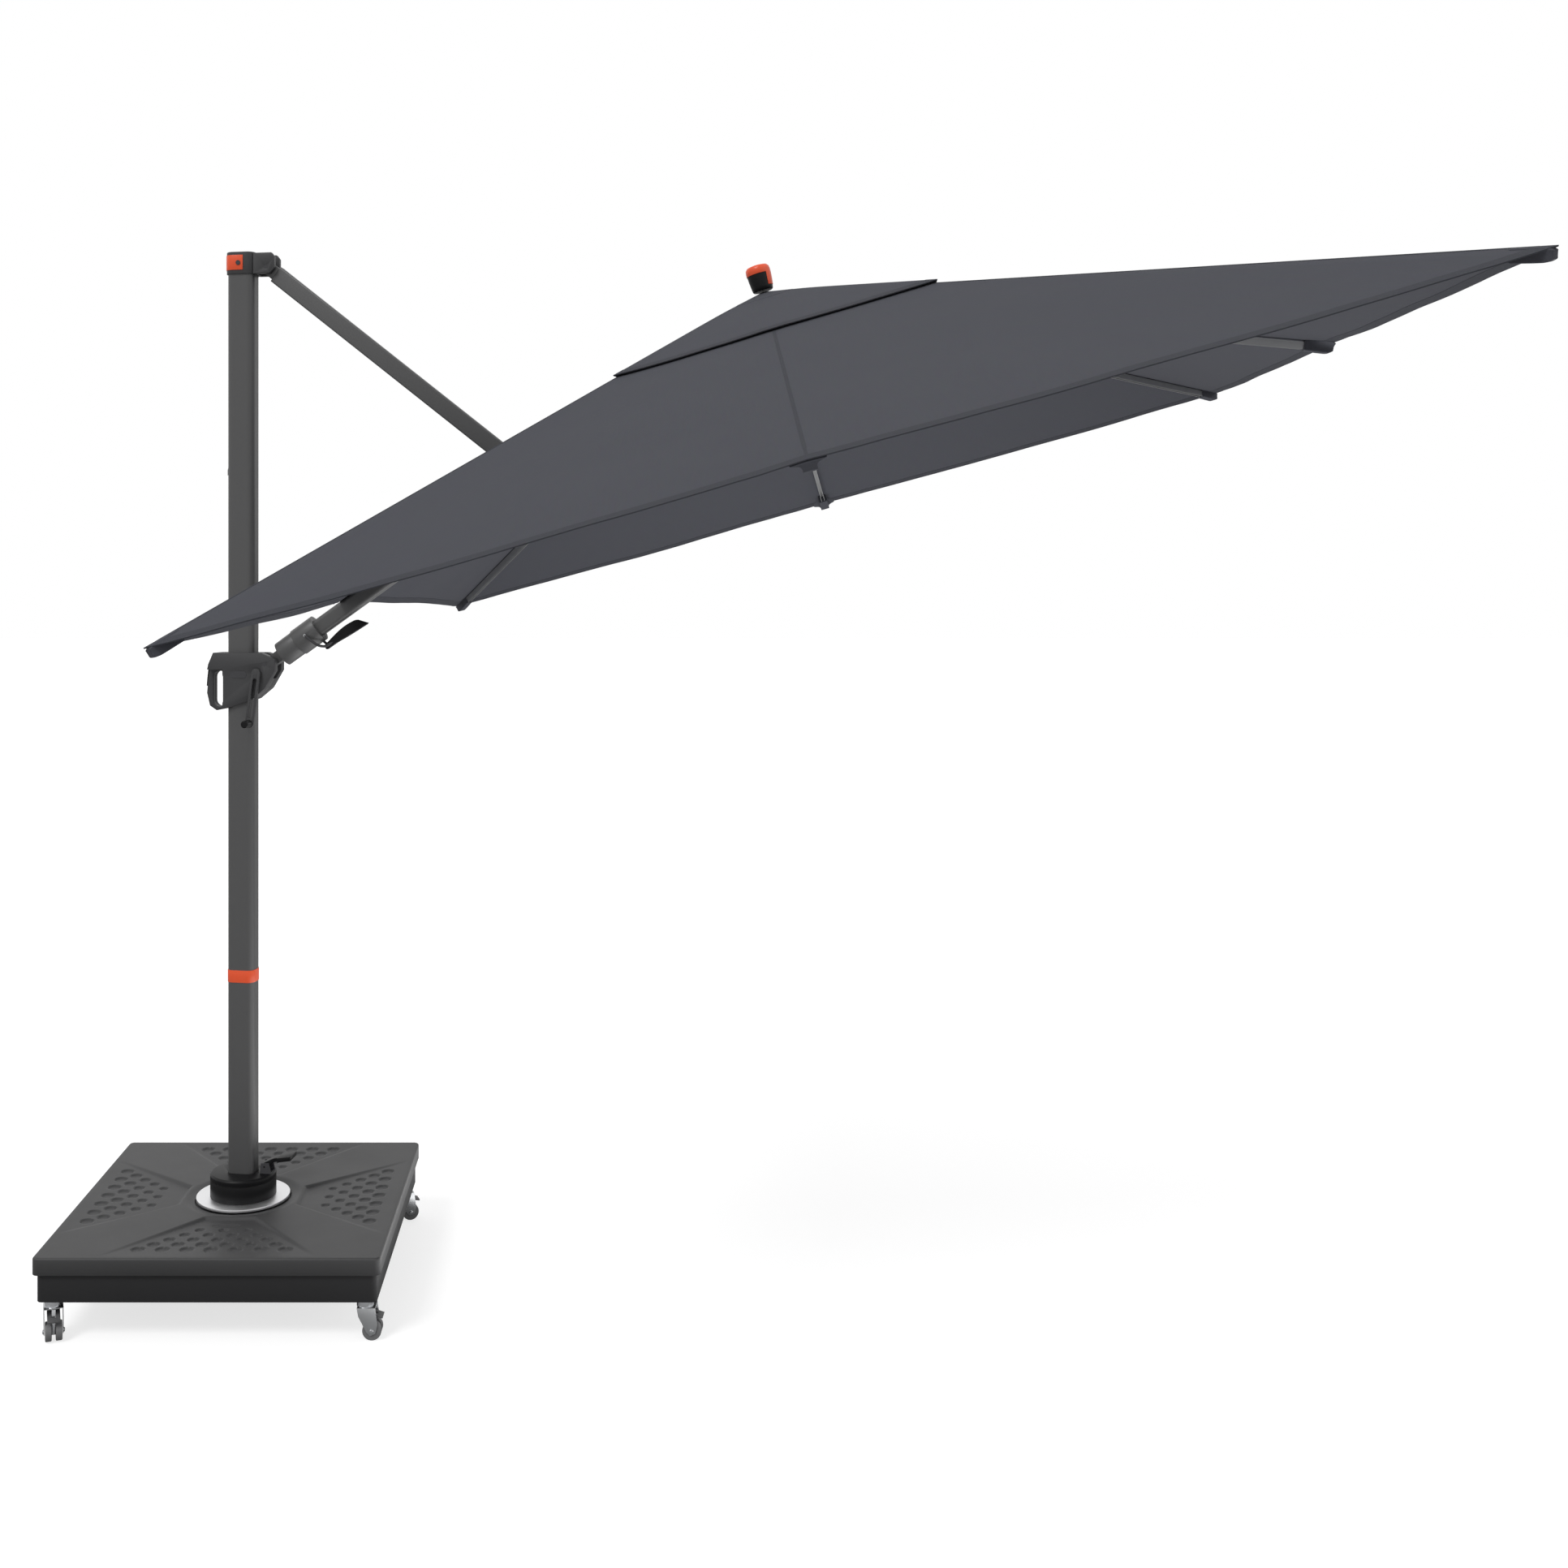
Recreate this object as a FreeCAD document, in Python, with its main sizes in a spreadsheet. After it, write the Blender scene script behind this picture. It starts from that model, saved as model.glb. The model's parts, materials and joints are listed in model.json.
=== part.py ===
"""Cantilever parasol: a wheeled, weighted base, a turning mast and a boom that carries a square canopy.

Units are millimetres and degrees. +Z is up, and the origin is on the floor under the mast axis.
The boom points along +X, turned by the rest yaw, and every sub-part has its own named object.
"""

import FreeCAD, Part
import math
import os

import Sketcher
from FreeCAD import Placement, Rotation, Vector

DRIVING_SIZES = {
    # base
    "base_side": 940, "base_corner": 16, "cover_top": 232, "cover_height": 47, "cover_wall": 5,
    "panel_outer": 600, "panel_inner": 150, "panel_margin": 26, "panel_reach": 170, "panel_depth": 8,
    "tray_inset": 10, "tray_bottom": 109, "tray_wall": 4,
    "slab_side": 424, "slab_height": 60, "slab_gap": 36, "frame_bar_width": 30, "frame_bar_end": 12,
    "disc_diameter": 273, "disc_thickness": 8, "disc_proud": 4, "disc_gap": 2,
    "pedestal_diameter": 150, "spigot_diameter": 50, "spigot_height": 250, "spigot_wall": 4,
    "bolt_diameter": 10, "bolt_circle": 124, "bolt_head": 17, "bolt_head_height": 6, "bolt_length": 30,
    # castors
    "caster_inset": 46, "cup_diameter": 46, "cup_height": 20, "stem_diameter": 12,
    "wheel_diameter": 52, "wheel_width": 17, "web_width": 10, "axle_diameter": 8, "trail": 20,
    "brake_width": 34, "brake_pin": 5,
    # mast
    "mast_width": 82, "mast_depth": 64, "mast_corner": 20, "mast_wall": 3,
    "drum_diameter": 193, "drum_height": 69, "drum_wall": 8, "socket_depth": 30,
    "band_bottom": 870, "band_height": 36, "band_proud": 1.5, "band_sleeve": 110,
    "head_top": 3030, "head_height": 65, "head_wall": 4, "head_reach": 106, "badge_height": 44,
    "stop_bottom": 2371, "stop_height": 30, "stop_proud": 4,
    "pedal_hinge_x": 72, "pedal_hinge_rise": 20, "pedal_pin": 6, "pedal_width": 30,
    # linkage
    "pivot_reach": 80, "strut_pivot_drop": 46, "arm_length": 948.5, "lift_angle": 38.2,
    "boom_drop_angle": 3.2, "pivot_pin": 12, "fork_gap": 30.6, "tongue_width": 30, "tongue_radius": 19,
    "strut_height": 52, "strut_width": 30, "strut_wall": 2.5, "strut_tube_start": 32,
    # slider
    "slider_depth": 82, "slider_guide": 3, "bush_height": 25, "bush_gap": 0.4,
    "grip_slot_width": 40, "grip_slot_height": 106, "grip_thickness": 34, "crank_reach": 58, "crank_drop": 25,
    "crank_length": 149, "crank_width": 26, "crank_thickness": 10, "crank_lean": 7.7,
    "knob_diameter": 22, "knob_length": 40, "knob_pin": 8,
    # boom
    "boom_height": 50, "boom_width": 40, "boom_corner": 12, "boom_wall": 3, "boom_start": 125,
    "collar_start": 52, "collar_split": 112, "collar_end": 188, "collar_lower": 76, "collar_upper": 82,
    "journal_diameter": 58, "strut_collar_diameter": 72, "strut_collar_width": 40,
    "lever_pivot": 153, "lever_rod": 8, "lever_drop": 60, "lever_length": 168,
    # canopy
    "canopy_side": 2860, "canopy_rise": 571, "canopy_tilt": 15.4, "boom_roll": 1.4, "apex_distance": 1806,
    "fabric_gap": 0.8, "fabric_thickness": 3, "rib_gap": 3, "vent_side": 860, "vent_lift": 14,
    "vent_opening": 300, "strut_slot_length": 170, "strut_slot_width": 124,
    "crown_radius": 82, "crown_depth": 62, "rib_pivot_radius": 70, "rib_pin": 6, "rib_slot": 14,
    "rib_width": 12.5, "rib_height": 20, "rib_wall": 1.5, "rib_end_gap": 10,
    "stay_length": 480, "stay_offset": 17, "stay_width": 10, "stay_height": 13, "fold_angle": 86,
    "stay_eye": 18, "loose_eye_gap": 3,
    "runner_radius": 80, "runner_ring": 20, "finial_diameter": 69, "finial_height": 74,
    # whole
    "rest_yaw": -8.9, "running_gap": 0.05, "slide_gap": 0.3,
}


class Size:
    """A number together with the spreadsheet expression that it comes from."""

    def __init__(self, number, text):
        self.number = float(number)
        self.text = text

    @staticmethod
    def of(value):
        """Return value as a Size."""
        return value if isinstance(value, Size) else Size(value, repr(float(value)))

    def _join(self, sign, other, number):
        return Size(number, "(%s %s %s)" % (self.text, sign, other.text))

    def __add__(self, other):
        other = Size.of(other)
        return self._join("+", other, self.number + other.number)

    def __sub__(self, other):
        other = Size.of(other)
        return self._join("-", other, self.number - other.number)

    def __mul__(self, other):
        other = Size.of(other)
        return self._join("*", other, self.number * other.number)

    def __truediv__(self, other):
        other = Size.of(other)
        return self._join("/", other, self.number / other.number)

    def __neg__(self):
        return Size(-self.number, "(-1 * %s)" % self.text)

    __radd__ = __add__

    def __rsub__(self, other):
        return Size.of(other) - self

    __rmul__ = __mul__

    def __float__(self):
        return self.number


def trig(name, angle):
    """Return sin, cos or tan of an angle in degrees as a Size."""
    angle = Size.of(angle)
    number = getattr(math, name)(math.radians(angle.number))
    return Size(number, "%s(%s * 1 deg)" % (name, angle.text))


def slope_of(rise, run):
    """Return the angle in degrees whose tangent is rise over run."""
    return math.degrees(math.atan2(float(rise), float(run)))


doc = FreeCAD.newDocument("cantilever_parasol")
sheet = doc.addObject("Spreadsheet::Sheet", "sizes")


class Sizes:
    """The driving sizes, one attribute for each spreadsheet alias."""


s = Sizes()
for row, (alias, number) in enumerate(DRIVING_SIZES.items(), start=1):
    sheet.set("A%d" % row, alias)
    sheet.set("B%d" % row, str(number))
    sheet.setAlias("B%d" % row, alias)
    setattr(s, alias, Size(number, "sizes.%s" % alias))
doc.recompute()

NODES = []


# ---------------------------------------------------------------- building helpers

def bind(obj, prop, value):
    """Bind one property of an object to a Size."""
    obj.setExpression(prop, Size.of(value).text)


def point(across, up):
    """Return a sketch point as a vector."""
    return Vector(float(across), float(up), 0)


def fix(sketch, kind, value, *places):
    """Add a dimension to a sketch and bind it to its Size."""
    value = Size.of(value)
    if kind == "Radius":
        index = sketch.addConstraint(Sketcher.Constraint(kind, places[0], value.number))
    elif kind == "Diameter":
        index = sketch.addConstraint(Sketcher.Constraint(kind, places[0], value.number))
    else:
        index = sketch.addConstraint(Sketcher.Constraint(kind, -1, 1, places[0], places[1], value.number))
    sketch.setExpression("Constraints[%d]" % index, value.text)


def outline(sketch, corners):
    """Draw a closed polygon whose corners are all dimensioned from the sketch origin."""
    first = sketch.GeometryCount
    count = len(corners)
    for i, corner in enumerate(corners):
        following = corners[(i + 1) % count]
        sketch.addGeometry(Part.LineSegment(point(*corner), point(*following)), False)
    for i in range(count):
        sketch.addConstraint(Sketcher.Constraint("Coincident", first + i, 2, first + (i + 1) % count, 1))
    for i, (across, up) in enumerate(corners):
        fix(sketch, "DistanceX", across, first + i, 1)
        fix(sketch, "DistanceY", up, first + i, 1)


def circle(sketch, diameter, across=0, up=0):
    """Draw a circle that is dimensioned from the sketch origin."""
    shape = Part.Circle(point(across, up), Vector(0, 0, 1), float(diameter) / 2)
    index = sketch.addGeometry(shape, False)
    fix(sketch, "Diameter", diameter, index)
    fix(sketch, "DistanceX", across, index, 3)
    fix(sketch, "DistanceY", up, index, 3)


def rectangle(sketch, width, height, across=0, up=0):
    """Draw a rectangle with its centre at across, up."""
    left, right = across - width / 2, across + width / 2
    low, high = up - height / 2, up + height / 2
    outline(sketch, [(left, low), (right, low), (right, high), (left, high)])


def rounded_rectangle(sketch, width, height, radius, across=0, up=0):
    """Draw a rectangle with round corners and its centre at across, up."""
    first = sketch.GeometryCount
    half_w, half_h = Size.of(width) / 2, Size.of(height) / 2
    flat_w, flat_h = half_w - radius, half_h - radius
    sides = [
        ((-flat_w, -half_h), (flat_w, -half_h)), ((half_w, -flat_h), (half_w, flat_h)),
        ((flat_w, half_h), (-flat_w, half_h)), ((-half_w, flat_h), (-half_w, -flat_h)),
    ]
    centres = [(flat_w, -flat_h), (flat_w, flat_h), (-flat_w, flat_h), (-flat_w, -flat_h)]
    for start, end in sides:
        start_point = point(across + start[0], up + start[1])
        sketch.addGeometry(Part.LineSegment(start_point, point(across + end[0], up + end[1])), False)
    for i, centre in enumerate(centres):
        middle = point(across + centre[0], up + centre[1])
        round_edge = Part.Circle(middle, Vector(0, 0, 1), float(radius))
        begin = math.radians(-90 + 90 * i)
        sketch.addGeometry(Part.ArcOfCircle(round_edge, begin, begin + math.pi / 2), False)
    for i, (start, end) in enumerate(sides):
        for place, spot in ((1, start), (2, end)):
            fix(sketch, "DistanceX", across + spot[0], first + i, place)
            fix(sketch, "DistanceY", up + spot[1], first + i, place)
    for i in range(4):
        arc = first + 4 + i
        sketch.addConstraint(Sketcher.Constraint("Coincident", arc, 1, first + i, 2))
        sketch.addConstraint(Sketcher.Constraint("Coincident", arc, 2, first + (i + 1) % 4, 1))
        fix(sketch, "Radius", radius, arc)


def new_body(name):
    """Return an empty body with this label."""
    body = doc.addObject("PartDesign::Body", name)
    body.Label = name
    return body


def sketch_on(body, role, height=0):
    """Return a new sketch on one of the body's origin planes, lifted along the plane's normal."""
    plane = [feature for feature in body.Origin.OriginFeatures if feature.Role == role][0]
    sketch = body.newObject("Sketcher::SketchObject", body.Label + "_sketch")
    sketch.AttachmentSupport = [(plane, "")]
    sketch.MapMode = "FlatFace"
    bind(sketch, "AttachmentOffset.Base.z", height)
    return sketch


def grow(body, kind, sketch, length, both_ways=False, down=False):
    """Pad or pocket a sketch by length, or to both sides of its plane."""
    feature = body.newObject("PartDesign::" + kind, body.Label + "_" + kind.lower())
    feature.Profile = sketch
    bind(feature, "Length", length)
    feature.Reversed = down
    if both_ways:
        feature.SideType = "Symmetric"
    sketch.Visibility = False
    return feature


def turn(body, sketch, kind="Revolution"):
    """Revolve a sketch a full turn about its vertical axis."""
    feature = body.newObject("PartDesign::" + kind, body.Label + "_" + kind.lower())
    feature.Profile = sketch
    feature.ReferenceAxis = (sketch, ["V_Axis"])
    feature.Angle = 360
    return feature


def round_edges(body, radius, wanted):
    """Fillet the edges of the body's tip that the test picks."""
    doc.recompute()
    tip = body.Tip
    names = ["Edge%d" % (i + 1) for i, edge in enumerate(tip.Shape.Edges) if wanted(edge)]
    fillet = body.newObject("PartDesign::Fillet", body.Label + "_fillet")
    fillet.Base = (tip, names)
    bind(fillet, "Radius", radius)
    return fillet


def is_level_at(height):
    """Return a test for edges that lie wholly at one height."""
    def test(edge):
        return abs(edge.BoundBox.ZMin - float(height)) < 1e-4 and abs(edge.BoundBox.ZMax - float(height)) < 1e-4
    return test


def rod(name, diameter, length, start=0, axis="z", across=0, up=0):
    """Return a solid cylinder along one local axis."""
    cylinder = doc.addObject("Part::Cylinder", name)
    bind(cylinder, "Radius", Size.of(diameter) / 2)
    bind(cylinder, "Height", length)
    start, across, up = float(start), float(across), float(up)
    if axis == "z":
        cylinder.Placement = Placement(Vector(across, up, start), Rotation())
    elif axis == "y":
        cylinder.Placement = Placement(Vector(across, start, up), Rotation(Vector(0, 0, 1), Vector(0, 1, 0)))
    else:
        cylinder.Placement = Placement(Vector(start, across, up), Rotation(Vector(0, 0, 1), Vector(1, 0, 0)))
    return cylinder


def block(name, size, low):
    """Return a box from its three sizes and its lowest corner."""
    box = doc.addObject("Part::Box", name)
    for prop, value in zip(("Length", "Width", "Height"), size):
        bind(box, prop, value)
    box.Placement.Base = Vector(*[float(value) for value in low])
    return box


def fused(name, pieces):
    """Return the union of the pieces."""
    union = doc.addObject("Part::MultiFuse", name)
    union.Shapes = pieces
    return union


def cut(name, base, tool):
    """Return base without tool."""
    difference = doc.addObject("Part::Cut", name)
    difference.Base = base
    difference.Tool = tool
    return difference


def group(name, pieces):
    """Return separate solids as one sub-part."""
    compound = doc.addObject("Part::Compound", name)
    compound.Links = pieces
    return compound


def node(obj, name, placement=None):
    """Register an object as a finished sub-part."""
    obj.Label = name
    if placement is not None:
        obj.Placement = placement.multiply(obj.Placement)
    NODES.append(obj)
    return obj


# ---------------------------------------------------------------- frames

def moved(x=0, y=0, z=0):
    """Return a placement that only shifts."""
    return Placement(Vector(float(x), float(y), float(z)), Rotation())


def turned(axis, angle):
    """Return a placement that only turns about an axis through the origin."""
    return Placement(Vector(0, 0, 0), Rotation(axis, float(angle)))


X_AXIS, Y_AXIS, Z_AXIS = Vector(1, 0, 0), Vector(0, 1, 0), Vector(0, 0, 1)

strut_pivot_z = s.head_top - s.strut_pivot_drop
slider_pivot_z = strut_pivot_z - s.arm_length * trig("sin", s.lift_angle) * 2
boom_angle = s.lift_angle - s.boom_drop_angle
collar_pivot_along = s.arm_length * trig("cos", s.boom_drop_angle)
collar_pivot_up = s.arm_length * trig("sin", s.boom_drop_angle)

MAST = turned(Z_AXIS, s.rest_yaw)
SLIDER = MAST.multiply(moved(z=slider_pivot_z))
CARRIER = MAST.multiply(moved(s.pivot_reach, 0, slider_pivot_z)).multiply(turned(Y_AXIS, -boom_angle))
BOOM = CARRIER.multiply(turned(X_AXIS, s.boom_roll))
STRUT = MAST.multiply(moved(s.pivot_reach, 0, strut_pivot_z)).multiply(turned(Y_AXIS, s.lift_angle))
apex_up = s.boom_height / 2 + s.fabric_gap
CANOPY = BOOM.multiply(moved(s.apex_distance, 0, apex_up)).multiply(turned(Y_AXIS, boom_angle - s.canopy_tilt))


# ---------------------------------------------------------------- base

tray_side = s.base_side - s.tray_inset * 2
floor_top = s.tray_bottom + s.tray_wall
slab_top = floor_top + s.slab_height
cover_bottom = s.cover_top - s.cover_height
tray_top = s.cover_top - s.cover_wall - s.panel_depth
disc_top = s.cover_top + s.disc_proud
disc_bottom = disc_top - s.disc_thickness


def build_base_cover():
    """Return the lid: a shallow cap with four recessed panels and a round hole in the middle."""
    body = new_body("base_cover")
    sketch = sketch_on(body, "XY_Plane", cover_bottom)
    rounded_rectangle(sketch, s.base_side, s.base_side, s.base_corner)
    grow(body, "Pad", sketch, s.cover_height)
    round_edges(body, s.cover_wall, is_level_at(s.cover_top))
    hollow = sketch_on(body, "XY_Plane", cover_bottom)
    inner_side = s.base_side - s.cover_wall * 2
    rounded_rectangle(hollow, inner_side, inner_side, s.base_corner - s.cover_wall)
    grow(body, "Pocket", hollow, s.cover_height - s.cover_wall - s.panel_depth, down=True)
    hole = sketch_on(body, "XY_Plane", cover_bottom)
    circle(hole, s.disc_diameter + s.disc_gap * 2)
    grow(body, "Pocket", hole, s.cover_height * 4, both_ways=True)
    panel = sketch_on(body, "XY_Plane", s.cover_top)
    near = s.base_side / 2 - s.panel_margin
    corners = [(near, -s.panel_outer / 2), (near, s.panel_outer / 2),
               (s.panel_reach, s.panel_inner / 2), (s.panel_reach, -s.panel_inner / 2)]
    outline(panel, corners)
    recess = grow(body, "Pocket", panel, s.panel_depth)
    doc.recompute()
    pattern = body.newObject("PartDesign::PolarPattern", "panel_pattern")
    pattern.Originals = [recess]
    pattern.Axis = (panel, ["N_Axis"])
    pattern.Angle = 360
    pattern.Occurrences = 4
    body.Tip = pattern
    node(body, "base_cover")


def build_base_tray():
    """Return the open tray that holds the slabs, with the seats of the castor cups in its floor."""
    body = new_body("base_tray")
    outside = sketch_on(body, "XY_Plane", s.tray_bottom)
    rounded_rectangle(outside, tray_side, tray_side, s.base_corner)
    grow(body, "Pad", outside, tray_top - s.tray_bottom)
    inside = sketch_on(body, "XY_Plane", tray_top)
    inner = tray_side - s.tray_wall * 2
    rounded_rectangle(inside, inner, inner, s.base_corner - s.tray_wall)
    grow(body, "Pocket", inside, tray_top - floor_top)
    node(body, "base_tray")


def build_ballast_slabs():
    """Return four concrete slabs, one in each quarter of the tray."""
    step = s.slab_gap / 2
    slabs = []
    for x_sign, y_sign in ((1, 1), (-1, 1), (-1, -1), (1, -1)):
        x_low = step if x_sign > 0 else -step - s.slab_side
        y_low = step if y_sign > 0 else -step - s.slab_side
        slabs.append(block("slab", (s.slab_side, s.slab_side, s.slab_height), (x_low, y_low, floor_top)))
    node(group("ballast_slabs", slabs), "ballast_slabs")


def build_foot_frame():
    """Return the steel cross between the slabs, the pedestal on it and the spigot that the mast turns on."""
    bar = tray_side - s.tray_wall * 2 - s.frame_bar_end * 2
    low = (-bar / 2, -s.frame_bar_width / 2, floor_top)
    along = block("frame_bar_x", (bar, s.frame_bar_width, s.slab_height), low)
    low = (-s.frame_bar_width / 2, -bar / 2, floor_top)
    across = block("frame_bar_y", (s.frame_bar_width, bar, s.slab_height), low)
    cross = fused("frame_cross", [along, across])
    pedestal = rod("pedestal_blank", s.pedestal_diameter, disc_bottom - slab_top, slab_top)
    holes = fused("pedestal_holes", bolt_rods("pedestal_hole", s.bolt_diameter, s.bolt_length * 3, slab_top - 1))
    spigot = rod("spigot_blank", s.spigot_diameter, s.spigot_height + s.disc_thickness, disc_bottom)
    bore = rod("spigot_bore", s.spigot_diameter - s.spigot_wall * 2, s.spigot_height * 2, disc_bottom)
    pieces = [cross, cut("pedestal", pedestal, holes), cut("spigot", spigot, bore)]
    node(fused("foot_frame", pieces), "foot_frame")


def bolt_rods(name, diameter, length, start):
    """Return four upright rods on the bolt circle of the foot."""
    rods = []
    for i in range(4):
        angle = math.radians(45 + 90 * i)
        radius = float(s.bolt_circle) / 2
        rods.append(rod(name, diameter, length, start, "z", radius * math.cos(angle), radius * math.sin(angle)))
    return rods


def build_foot_disc():
    """Return the aluminium disc that closes the hole in the cover."""
    body = new_body("foot_disc")
    sketch = sketch_on(body, "XY_Plane", disc_bottom)
    circle(sketch, s.disc_diameter)
    circle(sketch, s.spigot_diameter)
    for i in range(4):
        angle = math.radians(45 + 90 * i)
        radius = s.bolt_circle / 2
        circle(sketch, s.bolt_diameter, radius * math.cos(angle), radius * math.sin(angle))
    grow(body, "Pad", sketch, s.disc_thickness)
    node(body, "foot_disc")


def build_foot_bolts():
    """Return the four bolts that clamp the disc to the pedestal."""
    shanks = bolt_rods("bolt_shank", s.bolt_diameter, s.bolt_length, disc_top - s.bolt_length)
    heads = bolt_rods("bolt_head", s.bolt_head, s.bolt_head_height, disc_top)
    bolts = [fused("bolt", [shank, head]) for shank, head in zip(shanks, heads)]
    node(group("foot_bolts", bolts), "foot_bolts")


# ---------------------------------------------------------------- castors

caster_offset = s.base_side / 2 - s.caster_inset
CASTERS = {
    "front_right": (1, -1, 0), "front_left": (-1, -1, -70), "rear_left": (-1, 1, 150), "rear_right": (1, 1, 20),
}
wheel_radius = s.wheel_diameter / 2
cup_bottom = s.tray_bottom - s.cup_height
fork_top = cup_bottom - s.slide_gap
fork_shoulder = fork_top - 6
brake_hinge_x = -s.trail * 0.2
brake_hinge_z = fork_shoulder - 12


def build_caster_cups():
    """Return the four chrome cups under the tray, each bored for its castor's stem."""
    cups = []
    for x_sign, y_sign, _ in CASTERS.values():
        x, y = caster_offset * x_sign, caster_offset * y_sign
        cup = rod("cup_blank", s.cup_diameter, s.cup_height, cup_bottom, "z", x, y)
        bore_diameter = s.stem_diameter + s.running_gap * 2
        bore = rod("cup_bore", bore_diameter, s.cup_height - 2, cup_bottom, "z", x, y)
        cups.append(cut("cup", cup, bore))
    node(group("caster_cups", cups), "caster_cups")


def build_caster(name, x_sign, y_sign, heading):
    """Return the fork, the twin wheels and the brake lever of one castor, trailing along its heading."""
    place = moved(caster_offset * x_sign, caster_offset * y_sign).multiply(turned(Z_AXIS, heading))

    fork = new_body("caster_fork_" + name)
    web = sketch_on(fork, "XZ_Plane")
    outline(web, [(-15, fork_shoulder), (-15, fork_shoulder - 16), (s.trail - 9, wheel_radius - 8),
                  (s.trail + 8, wheel_radius - 8), (s.trail + 10, wheel_radius + 8), (18, fork_shoulder)])
    grow(fork, "Pad", web, s.web_width, both_ways=True)
    head = sketch_on(fork, "XY_Plane", fork_shoulder)
    circle(head, s.cup_diameter - 2)
    grow(fork, "Pad", head, fork_top - fork_shoulder)
    stem = sketch_on(fork, "XY_Plane", fork_top)
    circle(stem, s.stem_diameter)
    grow(fork, "Pad", stem, s.cup_height - 3)
    for diameter, x, z in ((s.axle_diameter, s.trail, wheel_radius), (s.brake_pin, brake_hinge_x, brake_hinge_z)):
        hole = sketch_on(fork, "XZ_Plane")
        circle(hole, diameter + s.running_gap * 2, x, z)
        grow(fork, "Pocket", hole, s.cup_diameter * 2, both_ways=True)
    node(fork, fork.Label, place)

    wheels = new_body("caster_wheels_" + name)
    inner_face = s.web_width / 2 + s.slide_gap
    for side in (1, -1):
        tread = sketch_on(wheels, "XZ_Plane", (inner_face + s.wheel_width / 2) * side)
        circle(tread, s.wheel_diameter, s.trail, wheel_radius)
        grow(wheels, "Pad", tread, s.wheel_width, both_ways=True)
        if side == 1:
            axle = sketch_on(wheels, "XZ_Plane")
            circle(axle, s.axle_diameter, s.trail, wheel_radius)
            grow(wheels, "Pad", axle, (inner_face + s.wheel_width) * 2, both_ways=True)
    round_edges(wheels, 3, lambda edge: edge.Curve.TypeId == "Part::GeomCircle"
                and abs(edge.Curve.Radius - float(wheel_radius)) < 1e-4 and edge.Closed)
    node(wheels, wheels.Label, place)

    brake = new_body("caster_brake_" + name)
    hinge = sketch_on(brake, "XZ_Plane")
    circle(hinge, s.brake_pin, brake_hinge_x, brake_hinge_z)
    grow(brake, "Pad", hinge, s.brake_width, both_ways=True)
    plate = sketch_on(brake, "XZ_Plane")
    tip = s.trail + wheel_radius
    outline(plate, [(brake_hinge_x - 5, brake_hinge_z - 4), (brake_hinge_x + 6, brake_hinge_z - 4),
                    (s.trail + 6, brake_hinge_z - 8), (tip + 3, brake_hinge_z - 13), (tip + 4, brake_hinge_z - 9),
                    (s.trail + 8, brake_hinge_z - 2), (brake_hinge_x + 4, brake_hinge_z + 5),
                    (brake_hinge_x - 5, brake_hinge_z + 5)])
    grow(brake, "Pad", plate, s.brake_width, both_ways=True)
    slot = sketch_on(brake, "XZ_Plane")
    gap = s.slide_gap * 2
    outline(slot, [(brake_hinge_x - 8, brake_hinge_z - 14), (s.trail + 14, brake_hinge_z - 14),
                   (s.trail + 14, brake_hinge_z + 8), (brake_hinge_x - 8, brake_hinge_z + 8)])
    grow(brake, "Pocket", slot, s.web_width + gap, both_ways=True)
    pin = sketch_on(brake, "XZ_Plane")
    circle(pin, s.brake_pin, brake_hinge_x, brake_hinge_z)
    grow(brake, "Pad", pin, s.web_width + gap * 2, both_ways=True)
    node(brake, brake.Label, place)


# ---------------------------------------------------------------- mast

drum_bottom = disc_top + s.slide_gap
drum_top = drum_bottom + s.drum_height
socket_floor = drum_top - s.socket_depth
band_top = s.band_bottom + s.band_height
head_bottom = s.head_top - s.head_height
head_width = s.mast_width + s.head_wall * 2
head_depth = s.mast_depth + s.head_wall * 2
mast_end = s.head_top - s.head_wall * 2


def build_turn_drum():
    """Return the black drum that turns on the spigot and holds the mast in its socket."""
    body = new_body("turn_drum")
    sketch = sketch_on(body, "XZ_Plane")
    bore = s.spigot_diameter / 2 + s.running_gap
    hub = bore + s.drum_wall
    rim = s.drum_diameter / 2
    ceiling = socket_floor - s.drum_wall
    groove = drum_top - 18
    outline(sketch, [
        (bore, drum_bottom), (hub, drum_bottom), (hub, ceiling), (rim - s.drum_wall, ceiling),
        (rim - s.drum_wall, drum_bottom), (rim, drum_bottom), (rim, groove - 1.5), (rim - 1.5, groove - 1.5),
        (rim - 1.5, groove), (rim, groove), (rim, drum_top - 5), (rim - 5, drum_top), (bore, drum_top)])
    turn(body, sketch)
    socket = sketch_on(body, "XY_Plane", drum_top)
    rounded_rectangle(socket, s.mast_width, s.mast_depth, s.mast_corner)
    grow(body, "Pocket", socket, s.socket_depth)
    guide = sketch_on(body, "XY_Plane", socket_floor)
    guide_diameter = s.spigot_diameter + s.running_gap * 2
    circle(guide, s.mast_depth - s.mast_wall * 2 - 1)
    circle(guide, guide_diameter)
    grow(body, "Pad", guide, s.spigot_height - s.drum_height)
    node(body, "turn_drum", MAST)


def mast_tube(name, low, high):
    """Return one length of the mast's rounded tube."""
    body = new_body(name)
    sketch = sketch_on(body, "XY_Plane", low)
    rounded_rectangle(sketch, s.mast_width, s.mast_depth, s.mast_corner)
    inner_corner = s.mast_corner - s.mast_wall
    rounded_rectangle(sketch, s.mast_width - s.mast_wall * 2, s.mast_depth - s.mast_wall * 2, inner_corner)
    grow(body, "Pad", sketch, high - low)
    node(body, name, MAST)


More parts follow.
